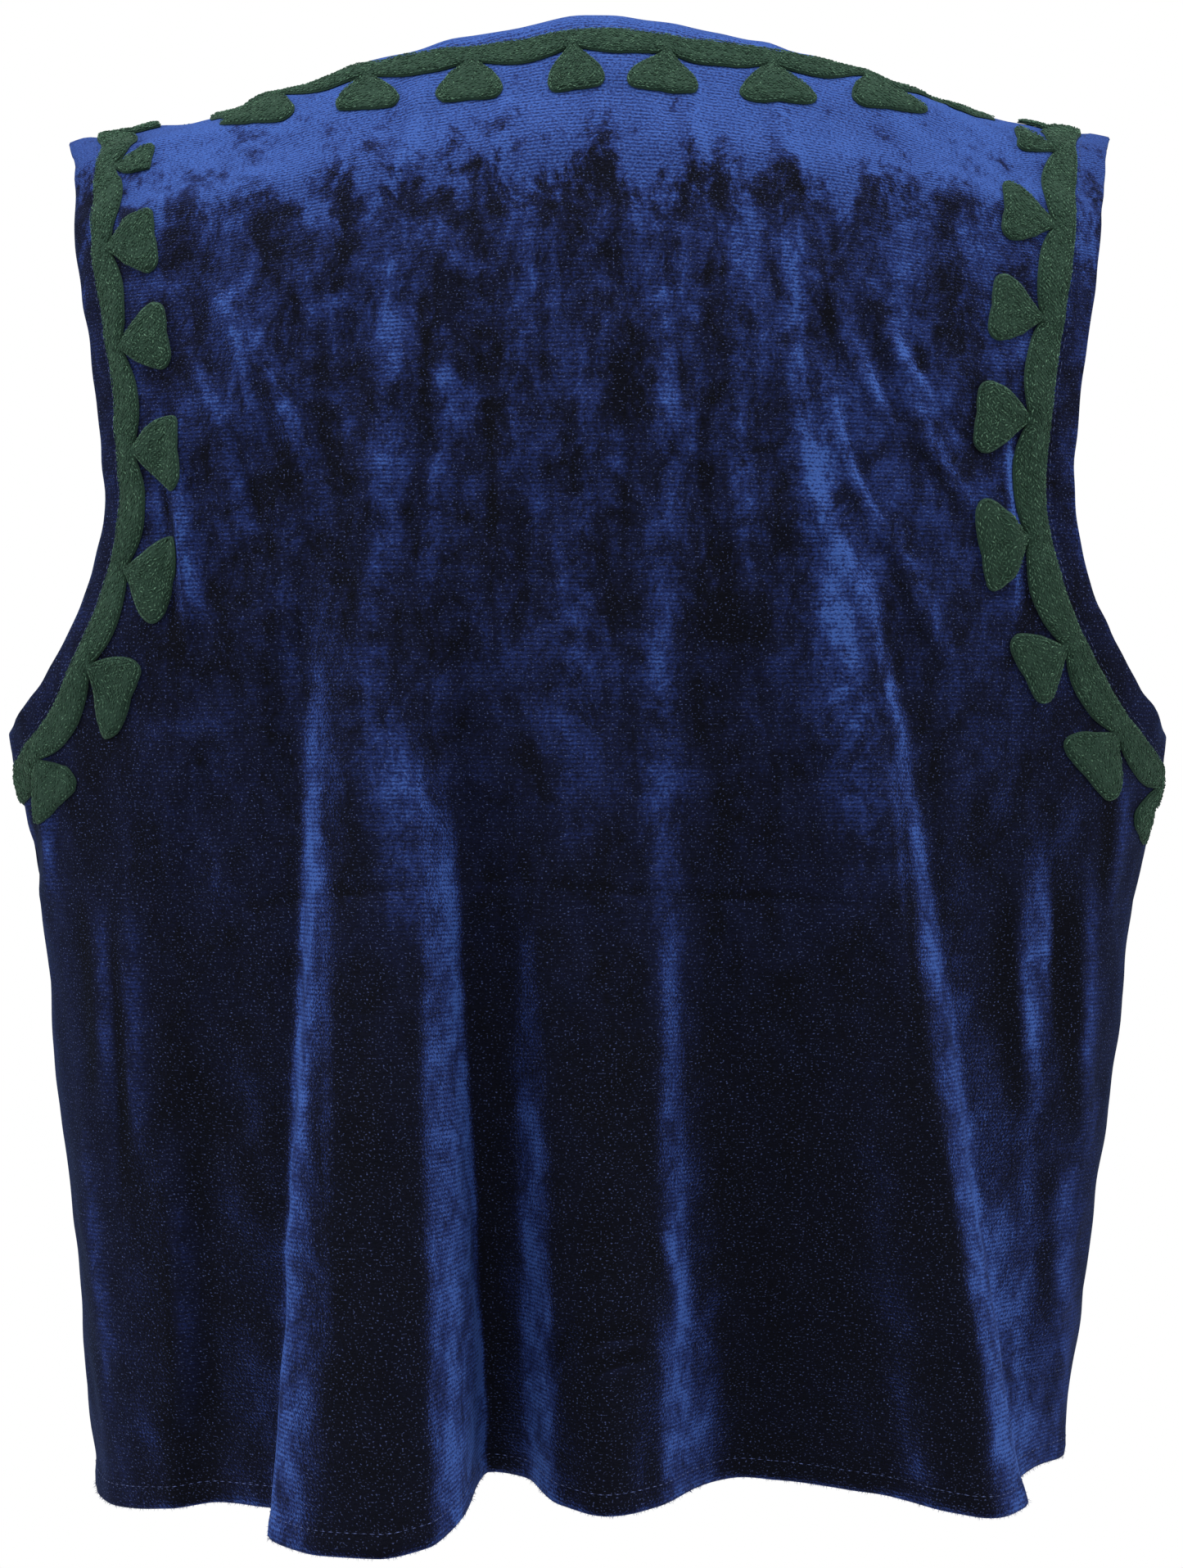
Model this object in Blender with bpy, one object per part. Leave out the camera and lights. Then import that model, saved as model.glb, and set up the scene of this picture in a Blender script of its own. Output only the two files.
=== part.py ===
"""Sleeveless, collarless velvet vest, open at the front, with a chain-stitched vine border.

The vest keeps the hollow form it has when it is worn. +Z is up, the back faces +Y and the
wearer's left is +X. The origin lies midway between the neck ends of the shoulder seams.
Lengths are in millimetres and angles in degrees; the meshes are made in metres.
"""
import math

import bpy
import numpy as np
from mathutils import Vector
from mathutils.geometry import delaunay_2d_cdt

MM = 0.001

# Cloth, seams and stitching
WALL = 1.6
SEAM_GAP = 0.3
STITCH_CLEARANCE = 0.3
STITCH_HEIGHT = 1.5

# The rings of the body are rounded rectangles: 2 is an ellipse, more is squarer
RING_POWER = 2.3

# Centre line of the garment, from the back hem over the shoulders to the front hem.
# y and z place it, half is half the width there, shift moves the ring towards the
# wearer's left, and slope is how strongly the shoulders fall away to the sides.
CENTRE_LINE = (
    # (y, z, half, shift, slope)
    (105, -585, 206, 4.5, 0.0),
    (105.5, -500, 214, 3.0, 0.0),
    (106, -430, 223, 2.0, 0.0),
    (108, -342, 232.5, 1.0, 0.0),
    (112, -275, 245.5, 0.5, 0.0),
    (116, -220, 250, 0.5, 0.0),
    (118, -150, 251, 1.0, 0.08),
    (115, -90, 250, 1.0, 0.27),
    (106, -40, 248, 1.0, 0.6),
    (91, -12, 246, 0.5, 0.95),
    (76, 10, 245, 0.0, 1.2),
    (63, 22.5, 244, 0.0, 1.3),
    (46, 26, 244, 0.0, 1.25),
    (0, 25, 243, 0.0, 1.0),
    (-50, 19, 244, 0.0, 0.95),
    (-80, -7, 246, 0.0, 0.77),
    (-100, -50, 249, 0.0, 0.43),
    (-118, -120, 251, 0.0, 0.14),
    (-127, -190, 252, 0.0, 0.0),
    (-124, -275, 245.5, 0.5, 0.0),
    (-118, -342, 232.5, 1.0, 0.0),
    (-112, -430, 223, 2.0, 0.0),
    (-108, -500, 214, 3.0, 0.0),
    (-105, -585, 206, 4.5, 0.0),
)
HEM_Z = -585
RIDGE_ROW = 13

# How far the shoulder line falls from the neck out to the shoulder tips, and the sideways
# place of its highest point
YOKE_TOP_X = -5
SHOULDER_FALL = (
    # (distance from the highest point, fall)
    (0, 0.0),
    (60, 8.5),
    (100, 16.5),
    (140, 27.5),
    (160, 33.0),
    (180, 36.0),
    (200, 39.0),
    (215, 42.0),
    (255, 52.0),
)

# Folds that open towards the hem, one row for each ridge, edge or valley line.
# hem_x and top_x place the line at the hem and at FOLD_TOP_Z, depth moves the cloth
# out, lean moves it sideways and sag lifts the hem. start is where the line begins.
FOLD_TOP_Z = -150
SAG_TOP_Z = -400
FOLD_GROWTH = 1.2
BACK_FOLDS = (
    # (hem_x, top_x, depth, lean, sag, start)
    (-206, -240, 0, 0, 10, -150),
    (-194, -140, -6, 0, 9, -150),
    (-184, -108, 2, 3, 6, -150),
    (-180, -97, 22, -1, 0, -150),
    (-170, -90, 32, 0, -1, -150),
    (-150, -84, 22, 0, 1, -170),
    (-124, -76, -4, 0, 5, -180),
    (-94, -62, -22, 0, 8, -190),
    (-66, -44, -30, 0, 10, -200),
    (-48, -32, -20, 0, 8, -200),
    (-32, -18, 4, 0, 5, -200),
    (-12, -2, 12, 0, 3, -220),
    (8, 22, 4, 0, 6, -220),
    (22, 42, -22, 0, 12, -200),
    (36, 56, -28, 0, 13, -190),
    (50, 70, 14, -4, 2, -170),
    (60, 76, 36, -2, -5, -160),
    (78, 83, 46, 0, -8, -150),
    (100, 90, 44, 0, -8, -150),
    (117, 97, 26, 5, -6, -150),
    (126, 112, -8, -5, -1, -150),
    (146, 150, -14, 0, -1, -170),
    (168, 190, -3, 0, -4, -200),
    (196, 225, 3, 0, -6, -200),
    (206, 240, 0, 0, -4, -150),
)
FRONT_FOLDS = (
    # (hem_x, top_x, depth, lean, sag, start)
    (-206, -240, 0, 0, 10, -200),
    (-184, -212, -7, 0, 8, -230),
    (-160, -186, 12, 0, 3, -200),
    (-136, -150, -8, 0, 4, -210),
    (-112, -124, 14, 0, -2, -190),
    (-90, -100, -7, 0, 2, -230),
    (-70, -80, 5, 0, 0, -260),
    (0, 0, 0, 0, 0, -260),
    (72, 80, 6, 0, -1, -260),
    (92, 105, -6, 0, 1, -230),
    (116, 130, 15, 0, -5, -190),
    (140, 160, -9, 0, 0, -210),
    (164, 190, 11, 0, -6, -200),
    (186, 215, -7, 0, -3, -230),
    (206, 240, 0, 0, -4, -200),
)

# The wearer's left armhole edge turns in towards the body over its last few centimetres
ROLL_DEPTH = 11
ROLL_WIDTH = 26
ROLL_FROM_ANGLE = 30
ROLL_TOP_Z = (-25, -70)
ROLL_FOOT_Z = (-215, -262)

# Neckline: a half ellipse in plan behind, running on into the front edges
NECK_HALF_WIDTH = 138
NECK_BACK_DEPTH = 62
FRONT_EDGE = (
    # (distance from the shoulder line along the centre line, x)
    (0, 138),
    (30, 137),
    (60, 133),
    (100, 124),
    (160, 106),
    (220, 90),
    (300, 78),
    (400, 73),
    (520, 72),
    (700, 74),
)

# Armhole edges from the shoulder tip to the underarm, as angle round the ring and height
SHOULDER_TIP_ANGLE = 62.1
UNDERARM_Z = -277
ARMHOLE_BACK = (
    # (z, angle)
    (-34, 57.9),
    (-71, 54.2),
    (-105, 51.6),
    (-139, 49.7),
    (-173, 48.7),
    (-206, 50.8),
    (-239, 57.5),
    (-256, 64.2),
    (-270, 76.0),
)
ARMHOLE_FRONT = (
    # (z, angle)
    (-36, 57.0),
    (-65, 52.5),
    (-100, 49.0),
    (-140, 46.5),
    (-180, 46.0),
    (-215, 49.5),
    (-243, 57.0),
    (-259, 65.0),
    (-271, 77.0),
)

# Vine border: a band with a scalloped inner edge and a leaf bud at each junction
BORDER_MARGIN = 13
BAND_WIDTH = 10.5
SCALLOP_BULGE = 5
BUD_SPACING = 40
NECK_PHASE = 8
HEM_MARGIN = 13
END_CLEARANCE = 22
FIRST_BUD_FROM_TIP = 12
LAST_BUD_CLEARANCE = 12
PAST_SEAM = 11
# Buds are smaller where neck and armhole borders come close together on the shoulders
SMALL_BUD = 0.72
SMALL_BUD_BEHIND = 60
SMALL_NECK_BUD_BEHIND = 30
SMALL_BUD_BEFORE = 120
SEAM_CLEARANCE = 17
SCALLOP_STEPS = (0.22, 0.5, 0.78)
OUTER_STEPS = 3
BUD_HALF_OUTLINE = (
    # (distance from the bud's axis, distance from the band)
    (1.8, 0.0),
    (8.5, 9.0),
    (13.0, 17.5),
    (9.5, 23.0),
)
BUD_NOTCH = 21.8

# Mesh: distance between cloth points across and up the panel, closer across the folds
ACROSS_STEP = 20
UP_STEP = 34
FOLD_ACROSS_STEP = 11
FOLD_UP_STEP = 42
FOLD_GRID_Z = -335
OUTLINE_STEP = 15
FRONT_EDGE_STEP = 22
CORNER_CLEARANCE = 8
HEM_CORNER_CLEARANCE = 4
SIDE_SEAM_POINTS = 11
SHOULDER_POINTS = 7
POINT_CLEARANCE = 6
PLANE_SCALE = 200
MERGE_DISTANCE = 0.01
SEAM_NEAR = 1
SEAM_NEAR_ANGLE = 0.01
SHARP_ANGLE = 40

# Fineness of the worked-out lines
STRIP_STEP = 3
FINE_POINTS = 400
WALK_STEPS = 10
HALVINGS = 40
TANGENT_ANGLE = 0.002
TANGENT_STEP = 0.4
NECK_POINTS = 10
FRONT_EDGE_RUNS = (20, 40, 60, 80)
FRONT_EDGE_START = 100
FRONT_EDGE_POINTS = 12
LEAST_TANGENT = 0.2
ROLL_LIMIT = 1.3
LEAST_LEAN = 0.7

VELVET = ("velvet", (0.012, 0.028, 0.135, 1.0), 0.62)
CHAIN_STITCH = ("chain_stitch", (0.022, 0.068, 0.032, 1.0), 0.9)


def smooth_slopes(xs, ys):
    """Slopes of a curve that passes through each point and never overshoots one."""
    steps = np.diff(xs, axis=-1)
    rises = np.diff(ys, axis=-1) / steps
    before, after = rises[..., :-1], rises[..., 1:]
    weight = (steps[..., :-1] + 2 * steps[..., 1:]) / (3 * (steps[..., :-1] + steps[..., 1:]))
    same_way = before * after > 0
    blend = np.where(same_way, weight * before + (1 - weight) * after, 1.0)
    inner = np.where(same_way, before * after / blend, 0.0)
    return np.concatenate([rises[..., :1], inner, rises[..., -1:]], axis=-1)


def smooth_through(xs, ys, x):
    """Value at x of the smooth curve through the points; each x may have its own points."""
    xs, ys = np.broadcast_arrays(xs, ys)
    slopes = smooth_slopes(xs, ys)
    place = np.clip(np.sum(x[..., None] >= xs, axis=-1) - 1, 0, xs.shape[-1] - 2)

    def pick(table, offset):
        spread = np.broadcast_to(table, x.shape + (table.shape[-1],))
        return np.take_along_axis(spread, (place + offset)[..., None], axis=-1)[..., 0]

    width = pick(xs, 1) - pick(xs, 0)
    f = np.clip((x - pick(xs, 0)) / width, 0.0, 1.0)
    return ((1 + 2 * f) * (1 - f) ** 2 * pick(ys, 0) + f * (1 - f) ** 2 * width * pick(slopes, 0)
            + f * f * (3 - 2 * f) * pick(ys, 1) + f * f * (f - 1) * width * pick(slopes, 1))


def soft_step(value, start, end):
    """0 before start, 1 after end, with a soft change between them."""
    f = np.clip((value - start) / (end - start), 0.0, 1.0)
    return f * f * (3 - 2 * f)


LINE = np.array(CENTRE_LINE, dtype=float)
LINE_U = np.concatenate([[0.0], np.cumsum(np.hypot(*np.diff(LINE[:, :2], axis=0).T))])
RIDGE_U = LINE_U[RIDGE_ROW]
END_U = LINE_U[-1]
SEAM_ANGLE = math.pi / 2 - SEAM_GAP / 2 / LINE[:, 0].max()


def centre(u, column):
    """One column of the centre line at distance u from the back hem."""
    return smooth_through(LINE_U, LINE[:, column], np.asarray(u, dtype=float))


def ring(angle):
    """Sideways and forward share of a ring's size at an angle from its middle."""
    s, c = np.sin(angle), np.cos(angle)
    size = (np.abs(s) ** RING_POWER + np.abs(c) ** RING_POWER) ** (1 / RING_POWER)
    return s / size, c / size


def ring_angle(share):
    """Angle at which a ring is this share of its half width from the middle."""
    share = np.clip(np.asarray(share, dtype=float), -1.0, 1.0)
    return np.arctan2(share, (1 - np.abs(share) ** RING_POWER) ** (1 / RING_POWER))


NECK_ANGLE = float(ring_angle(NECK_HALF_WIDTH / LINE[RIDGE_ROW, 2]))


def shoulder_fall(x):
    """How far the shoulder line has fallen at x, for a slope of 1."""
    table = np.array(SHOULDER_FALL, dtype=float)
    both_sides = np.concatenate([table[:0:-1] * (-1, 1), table])
    return smooth_through(both_sides[:, 0], both_sides[:, 1], np.asarray(x, dtype=float) - YOKE_TOP_X)


def fold_lines(folds, z):
    """Sideways place of each fold line at height z."""
    table = np.array(folds, dtype=float)
    rise = (np.asarray(z)[..., None] - HEM_Z) / (FOLD_TOP_Z - HEM_Z)
    return table[:, 0] + (table[:, 1] - table[:, 0]) * np.clip(rise, 0.0, 1.0)


def fold_shift(folds, x, z):
    """Depth, lean and sag of the folds at sideways place x and height z."""
    table = np.array(folds, dtype=float)
    lines = fold_lines(folds, z)
    growth = np.clip((table[:, 5] - z[..., None]) / (table[:, 5] - HEM_Z), 0.0, 1.0) ** FOLD_GROWTH
    near_hem = np.clip((SAG_TOP_Z - z) / (SAG_TOP_Z - HEM_Z), 0.0, 1.0) ** 2
    depth = smooth_through(lines, table[:, 2] * growth, x)
    lean = smooth_through(lines, table[:, 3] * growth, x)
    return depth, lean, smooth_through(lines, table[:, 4] + 0 * growth, x) * near_hem


def armhole_angle(rows, z):
    """Angle of the armhole edge at height z."""
    table = np.array(rows, dtype=float)[::-1]
    return np.radians(smooth_through(table[:, 0], table[:, 1], np.asarray(z, dtype=float)))


def edge_roll(angle, x, z):
    """How far the wearer's left armhole edge has turned in."""
    reach = np.abs(x) / np.maximum(np.tan(np.abs(angle)), LEAST_TANGENT)
    to_edge = (armhole_angle(ARMHOLE_BACK, z) - angle) * reach
    near = np.clip(1 - to_edge / ROLL_WIDTH, 0.0, ROLL_LIMIT) ** 2 * (angle > math.radians(ROLL_FROM_ANGLE))
    above_foot = soft_step(z, ROLL_FOOT_Z[1], ROLL_FOOT_Z[0])
    below_top = 1 - soft_step(z, ROLL_TOP_Z[1], ROLL_TOP_Z[0])
    return ROLL_DEPTH * near * above_foot * below_top


def surface(angle, u):
    """Point of the cloth's outer face at an angle round the ring, u along the centre line."""
    angle, u = np.broadcast_arrays(np.asarray(angle, dtype=float), np.asarray(u, dtype=float))
    across, forward = ring(angle)
    x = centre(u, 2) * across
    y = centre(u, 0) * forward
    z = centre(u, 1) - centre(u, 4) * shoulder_fall(x)
    behind = u < RIDGE_U
    back = fold_shift(BACK_FOLDS, x, z)
    front = fold_shift(FRONT_FOLDS, x, z)
    depth, lean, sag = (np.where(behind, b, f) for b, f in zip(back, front))
    away = np.where(behind, 1.0, -1.0)
    y = y + away * depth - np.where(behind, edge_roll(angle, x, z), 0.0)
    return np.stack([x + lean + centre(u, 3), y, z + sag], axis=-1)


def tangents(angle, u):
    """Change of the surface for a radian round the ring and for a millimetre along u."""
    round_ring = surface(angle + TANGENT_ANGLE, u) - surface(angle - TANGENT_ANGLE, u)
    along = surface(angle, u + TANGENT_STEP) - surface(angle, u - TANGENT_STEP)
    return round_ring / (2 * TANGENT_ANGLE), along / (2 * TANGENT_STEP)


def unit(vectors):
    return vectors / np.linalg.norm(vectors, axis=-1, keepdims=True)


def surface_normal(angle, u):
    round_ring, along = tangents(angle, u)
    return unit(np.cross(along, round_ring))


def find_u(z, angle, low, high):
    """Distance along the centre line at which the ring's point at this angle has height z."""
    low, high = float(low), float(high)
    share = ring(np.radians(angle))[0]
    rising = low < RIDGE_U - SEAM_NEAR
    for _ in range(HALVINGS):
        middle = (low + high) / 2
        x = centre(middle, 2) * share
        height = centre(middle, 1) - centre(middle, 4) * shoulder_fall(x)
        if (height < z) == rising:
            low = middle
        else:
            high = middle
    return (low + high) / 2


def run_length(points):
    """Length of a line of points up to each of them."""
    return np.concatenate([[0.0], np.cumsum(np.linalg.norm(np.diff(points, axis=0), axis=1))])


def even_points(points, step):
    """The smooth line through plane points, with a point about every step of real length."""
    points = np.array(points, dtype=float)
    marks = run_length(surface(*points.T))
    fine = np.linspace(0, marks[-1], FINE_POINTS)
    dense = np.stack([smooth_through(marks, points[:, i], fine) for i in (0, 1)], axis=1)
    length = run_length(surface(*dense.T))
    wanted = np.linspace(0, length[-1], max(2, round(length[-1] / step) + 1))
    return np.stack([np.interp(wanted, length, dense[:, i]) for i in (0, 1)], axis=1)


def armhole_line():
    """Armhole edge on the wearer's left, from the back underarm over the shoulder to the front."""
    back_under = (math.pi / 2, find_u(UNDERARM_Z, 90, 0, RIDGE_U))
    front_under = (math.pi / 2, find_u(UNDERARM_Z, 90, RIDGE_U, END_U))
    back = [(math.radians(a), find_u(z, a, 0, RIDGE_U)) for z, a in reversed(ARMHOLE_BACK)]
    front = [(math.radians(a), find_u(z, a, RIDGE_U, END_U)) for z, a in ARMHOLE_FRONT]
    return [back_under] + back + [(math.radians(SHOULDER_TIP_ANGLE), RIDGE_U)] + front + [front_under]


def neck_line():
    """Edge from the wearer's left front hem round the neck to the right front hem."""
    def place(x, u):
        return (float(ring_angle(x / centre(u, 2))), u)
    table = np.array(FRONT_EDGE, dtype=float)
    low_runs = np.linspace(END_U - RIDGE_U, FRONT_EDGE_START, FRONT_EDGE_POINTS)
    runs = np.concatenate([low_runs, FRONT_EDGE_RUNS[::-1]])
    left = [place(smooth_through(table[:, 0], table[:, 1], np.array(run)), RIDGE_U + run) for run in runs]
    turns = np.radians(np.linspace(0, 90, NECK_POINTS))
    behind = [place(NECK_HALF_WIDTH * math.cos(a), RIDGE_U - NECK_BACK_DEPTH * math.sin(a)) for a in turns]
    half = left + behind
    return half + [(-angle, u) for angle, u in reversed(half[:-1])]


def past_underarm(points):
    """The armhole line carried a little way past the side seam at both ends."""
    side = math.copysign(math.pi, points[0][0])
    before = [(side - angle, u) for angle, u in points[2:0:-1]]
    after = [(side - angle, u) for angle, u in points[-2:-4:-1]]
    return before + list(points) + after


class EdgeStrip:
    """Places points by their distance along an edge and their distance in from it."""

    def __init__(self, line, inward):
        self.plane = even_points(line, STRIP_STEP)
        solid = surface(*self.plane.T)
        self.length = run_length(solid)
        along = unit(np.gradient(solid, axis=0))
        self.inward = unit(inward * np.cross(surface_normal(*self.plane.T), along))

    def where(self, angle, u):
        """Distance along the edge of its point nearest to a place."""
        gap = np.hypot((self.plane[:, 0] - angle) * PLANE_SCALE, self.plane[:, 1] - u)
        return self.length[np.argmin(gap)]

    def place(self, points):
        """Walk in from the edge over the cloth, in short steps."""
        points = np.array(points, dtype=float)
        at = np.stack([np.interp(points[:, 0], self.length, self.plane[:, i]) for i in (0, 1)], axis=1)
        way = np.stack([np.interp(points[:, 0], self.length, self.inward[:, i]) for i in range(3)], axis=1)
        step = points[:, 1:2] / WALK_STEPS
        for _ in range(WALK_STEPS):
            round_ring, along = tangents(*at.T)
            normal = unit(np.cross(along, round_ring))
            way = unit(way - normal * np.sum(way * normal, axis=1, keepdims=True))
            aa = np.sum(round_ring * round_ring, axis=1)
            ab = np.sum(round_ring * along, axis=1)
            bb = np.sum(along * along, axis=1)
            wa = np.sum(way * round_ring, axis=1)
            wb = np.sum(way * along, axis=1)
            det = aa * bb - ab * ab
            at = at + step * np.stack([(wa * bb - wb * ab) / det, (wb * aa - wa * ab) / det], axis=1)
        return at


def vine_outline(start, end, junctions):
    """Outline of band and buds, as distance along the edge and distance in from it."""
    base = BORDER_MARGIN + BAND_WIDTH
    stops = [(start, 0)] + list(junctions) + [(end, 0)]
    inner = []
    for (before, _), (after, size) in zip(stops, stops[1:]):
        for part in SCALLOP_STEPS:
            bulge = SCALLOP_BULGE * math.sin(math.pi * part)
            inner.append((before + (after - before) * part, base + bulge))
        if size:
            inner += [(after - side * size, base + out * size) for side, out in BUD_HALF_OUTLINE]
            inner.append((after, base + BUD_NOTCH * size))
            inner += [(after + side * size, base + out * size) for side, out in reversed(BUD_HALF_OUTLINE)]
    count = round((end - start) / BUD_SPACING * OUTER_STEPS)
    outer = [(s, BORDER_MARGIN) for s in np.linspace(end, start, count + 1)]
    return [(start, base)] + inner + [(end, base)] + outer


def armhole_buds(tip, seam, small):
    """Junctions from the shoulder tip to a side seam, with the size of the bud on each."""
    way = math.copysign(1, seam - tip)
    runs = np.arange(FIRST_BUD_FROM_TIP, abs(seam - tip) - LAST_BUD_CLEARANCE, BUD_SPACING)
    return [(tip + way * run, SMALL_BUD if run < small else 1.0) for run in runs]


def armhole_border(line, inward):
    """Vine round one armhole, carried a little past the side seam at both ends."""
    strip = EdgeStrip(past_underarm(line), inward)
    first = strip.where(*line[0])
    last = strip.where(*line[-1])
    tip = strip.where(*line[len(ARMHOLE_BACK) + 1])
    behind = armhole_buds(tip, first, SMALL_BUD_BEHIND)[::-1]
    before = armhole_buds(tip + BUD_SPACING - 2 * FIRST_BUD_FROM_TIP, last, SMALL_BUD_BEFORE)
    return strip.place(vine_outline(first - PAST_SEAM, last + PAST_SEAM, behind + before))


def neck_border(line):
    """Vine from one front hem up round the neck and down to the other."""
    strip = EdgeStrip(line, -1)
    left, right = strip.where(NECK_ANGLE, RIDGE_U), strip.where(-NECK_ANGLE, RIDGE_U)
    start, end = HEM_MARGIN, strip.length[-1] - HEM_MARGIN
    middle = (left + right) / 2 - NECK_PHASE
    low = math.ceil((start + END_CLEARANCE - middle) / BUD_SPACING)
    high = math.floor((end - END_CLEARANCE - middle) / BUD_SPACING)
    junctions = []
    for s in middle + BUD_SPACING * np.arange(low, high + 1):
        seam = left if s < middle else right
        if abs(s - seam) < SEAM_CLEARANCE:
            s = seam + math.copysign(SEAM_CLEARANCE, s - seam)
        past_shoulder = max(left - s, s - right)
        small = -SMALL_NECK_BUD_BEHIND < past_shoulder < SMALL_BUD_BEFORE
        junctions.append((s, SMALL_BUD if small else 1.0))
    return strip.place(vine_outline(start, end, junctions))


def side_seam(low_u, high_u):
    """Side seam edge, half the seam gap from the side line."""
    return [(SEAM_ANGLE, u) for u in np.linspace(low_u, high_u, SIDE_SEAM_POINTS)]


def shoulder_edge(side):
    """Shoulder seam edge from neck to tip; side is -1 for the back panel and 1 for a front."""
    angles = np.linspace(NECK_ANGLE, math.radians(SHOULDER_TIP_ANGLE), SHOULDER_POINTS)
    return [(float(a), RIDGE_U + side * SEAM_GAP / 2 / float(ring(a)[1])) for a in angles]


def hem_edge(u, folds, low, high):
    """Hem points at the fold lines and between them, from angle low to angle high."""
    half = centre(u, 2)
    edges = half * ring(np.array([low, high]))[0]
    low_x, high_x = edges[0] + HEM_CORNER_CLEARANCE, edges[1] - HEM_CORNER_CLEARANCE
    between = [x for x in fold_lines(folds, np.array(float(HEM_Z))) if low_x < x < high_x]
    stops = [edges[0]] + between + [edges[1]]
    xs = []
    for a, b in zip(stops, stops[1:]):
        count = max(1, math.ceil((b - a) / FOLD_ACROSS_STEP))
        xs += [a + (b - a) * i / count for i in range(count)]
    return [(low, u)] + [(float(ring_angle(x / half)), u) for x in xs[1:]] + [(high, u)]


def armhole_edge(points):
    """Armhole points of one panel, without the corners at the side seam and the shoulder."""
    return [tuple(p) for p in even_points(points, OUTLINE_STEP)][1:-1]


def back_outline(armhole, neck):
    seam = side_seam(0, armhole[0][1])
    scoop = armhole_edge(armhole[:len(ARMHOLE_BACK) + 2])
    shoulder = shoulder_edge(-1)[::-1]
    behind = [p for p in neck if p[1] < RIDGE_U - SEAM_NEAR and p[0] >= 0]
    half = seam + scoop + shoulder + behind
    hem = hem_edge(0.0, BACK_FOLDS, -SEAM_ANGLE, SEAM_ANGLE)
    return hem[1:-1] + half + [(-a, u) for a, u in reversed(half) if a > 0]


def front_outline(armhole, neck):
    """Outline of the wearer's left front panel."""
    seam = side_seam(armhole[-1][1], END_U)
    scoop = armhole_edge(armhole[len(ARMHOLE_BACK) + 1:])
    line = even_points([p for p in neck if p[0] > 0 and p[1] > RIDGE_U - SEAM_NEAR], FRONT_EDGE_STEP)
    edge = [tuple(p) for p in line if p[1] > RIDGE_U + CORNER_CLEARANCE]
    hem = hem_edge(END_U, FRONT_FOLDS, edge[0][0], SEAM_ANGLE)
    return edge + shoulder_edge(1) + scoop + seam + hem[::-1][1:-1]


def plane(points):
    """Plane coordinates in which the cloth is cut into triangles."""
    points = np.array(points, dtype=float)
    return np.stack([points[:, 0] * PLANE_SCALE, points[:, 1]], axis=1)


def plane_loop(points):
    """A closed outline in plane coordinates, running counter-clockwise."""
    loop = plane(points)
    after = np.roll(loop, -1, axis=0)
    area = np.sum(loop[:, 0] * after[:, 1] - after[:, 0] * loop[:, 1])
    return loop if area > 0 else loop[::-1]


def inside(points, loop):
    """Whether each point lies inside a closed loop."""
    ax, ay = loop[:, 0], loop[:, 1]
    bx, by = np.roll(ax, -1), np.roll(ay, -1)
    px, py = points[:, :1], points[:, 1:]
    crosses = (ay > py) != (by > py)
    rise = np.where(by == ay, 1.0, by - ay)
    return np.sum(crosses & (px < ax + (py - ay) * (bx - ax) / rise), axis=1) % 2 == 1


def gap_to(points, loop):
    """Distance of each point from the nearest side of a closed loop."""
    start = loop[None, :, :]
    side = np.roll(loop, -1, axis=0)[None, :, :] - start
    size = np.maximum(np.sum(side * side, axis=2), 1e-9)
    f = np.clip(np.sum((points[:, None, :] - start) * side, axis=2) / size, 0.0, 1.0)
    return np.min(np.linalg.norm(points[:, None, :] - start - side * f[..., None], axis=2), axis=1)


def cloth_rows(low_u, high_u, folds):
    """Rows of cloth points: on the fold lines below, evenly spaced above."""
    rows = []
    step = UP_STEP / 2
    u = low_u + step
    while u < high_u:
        half, z = float(centre(u, 2)), float(centre(u, 1))
        folded = z < FOLD_GRID_Z
        stops = fold_lines(folds, np.array(z)) if folded else np.array([-half, 0.0, half])
        across = FOLD_ACROSS_STEP if folded else ACROSS_STEP
        row = []
        for a, b in zip(stops, stops[1:]):
            pieces = max(1, math.ceil((b - a) / across))
            row += [a + (b - a) * i / pieces for i in range(pieces)]
        row = [x for x in row if abs(x) < half]
        rows.append([(float(ring_angle(x / half)), u) for x in row])
        u += FOLD_UP_STEP if folded else UP_STEP
    return rows


def cut_panel(outline, borders, low_u, high_u, folds):
    """Cut one panel into triangles; the borders' outlines become edges of the cut."""
    loops = [plane_loop(outline)] + [plane_loop(b) for b in borders]
    points, faces = [], []
    for loop in loops:
        faces.append(list(range(len(points), len(points) + len(loop))))
        points += loop.tolist()
    grid = plane([p for row in cloth_rows(low_u, high_u, folds) for p in row])
    free = inside(grid, loops[0]) & (gap_to(grid, loops[0]) > POINT_CLEARANCE)
    for loop in loops[1:]:
        free &= ~inside(grid, loop) & (gap_to(grid, loop) > POINT_CLEARANCE)
    points += grid[free].tolist()
    vectors = [Vector(p) for p in points]
    coords, _, triangles, _, _, sources = delaunay_2d_cdt(vectors, [], faces, 0, MERGE_DISTANCE)
    kept = [(tri, set(src)) for tri, src in zip(triangles, sources) if 0 in src]
    used = sorted({i for tri, _ in kept for i in tri})
    number = {old: new for new, old in enumerate(used)}
    flat = np.array([coords[i][:] for i in used])
    tris = np.array([[number[i] for i in tri] for tri, _ in kept])
    parts = [np.array([k + 1 in src for _, src in kept]) for k in range(len(borders))]
    return np.stack([flat[:, 0] / PLANE_SCALE, flat[:, 1]], axis=1), tris, parts


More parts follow.
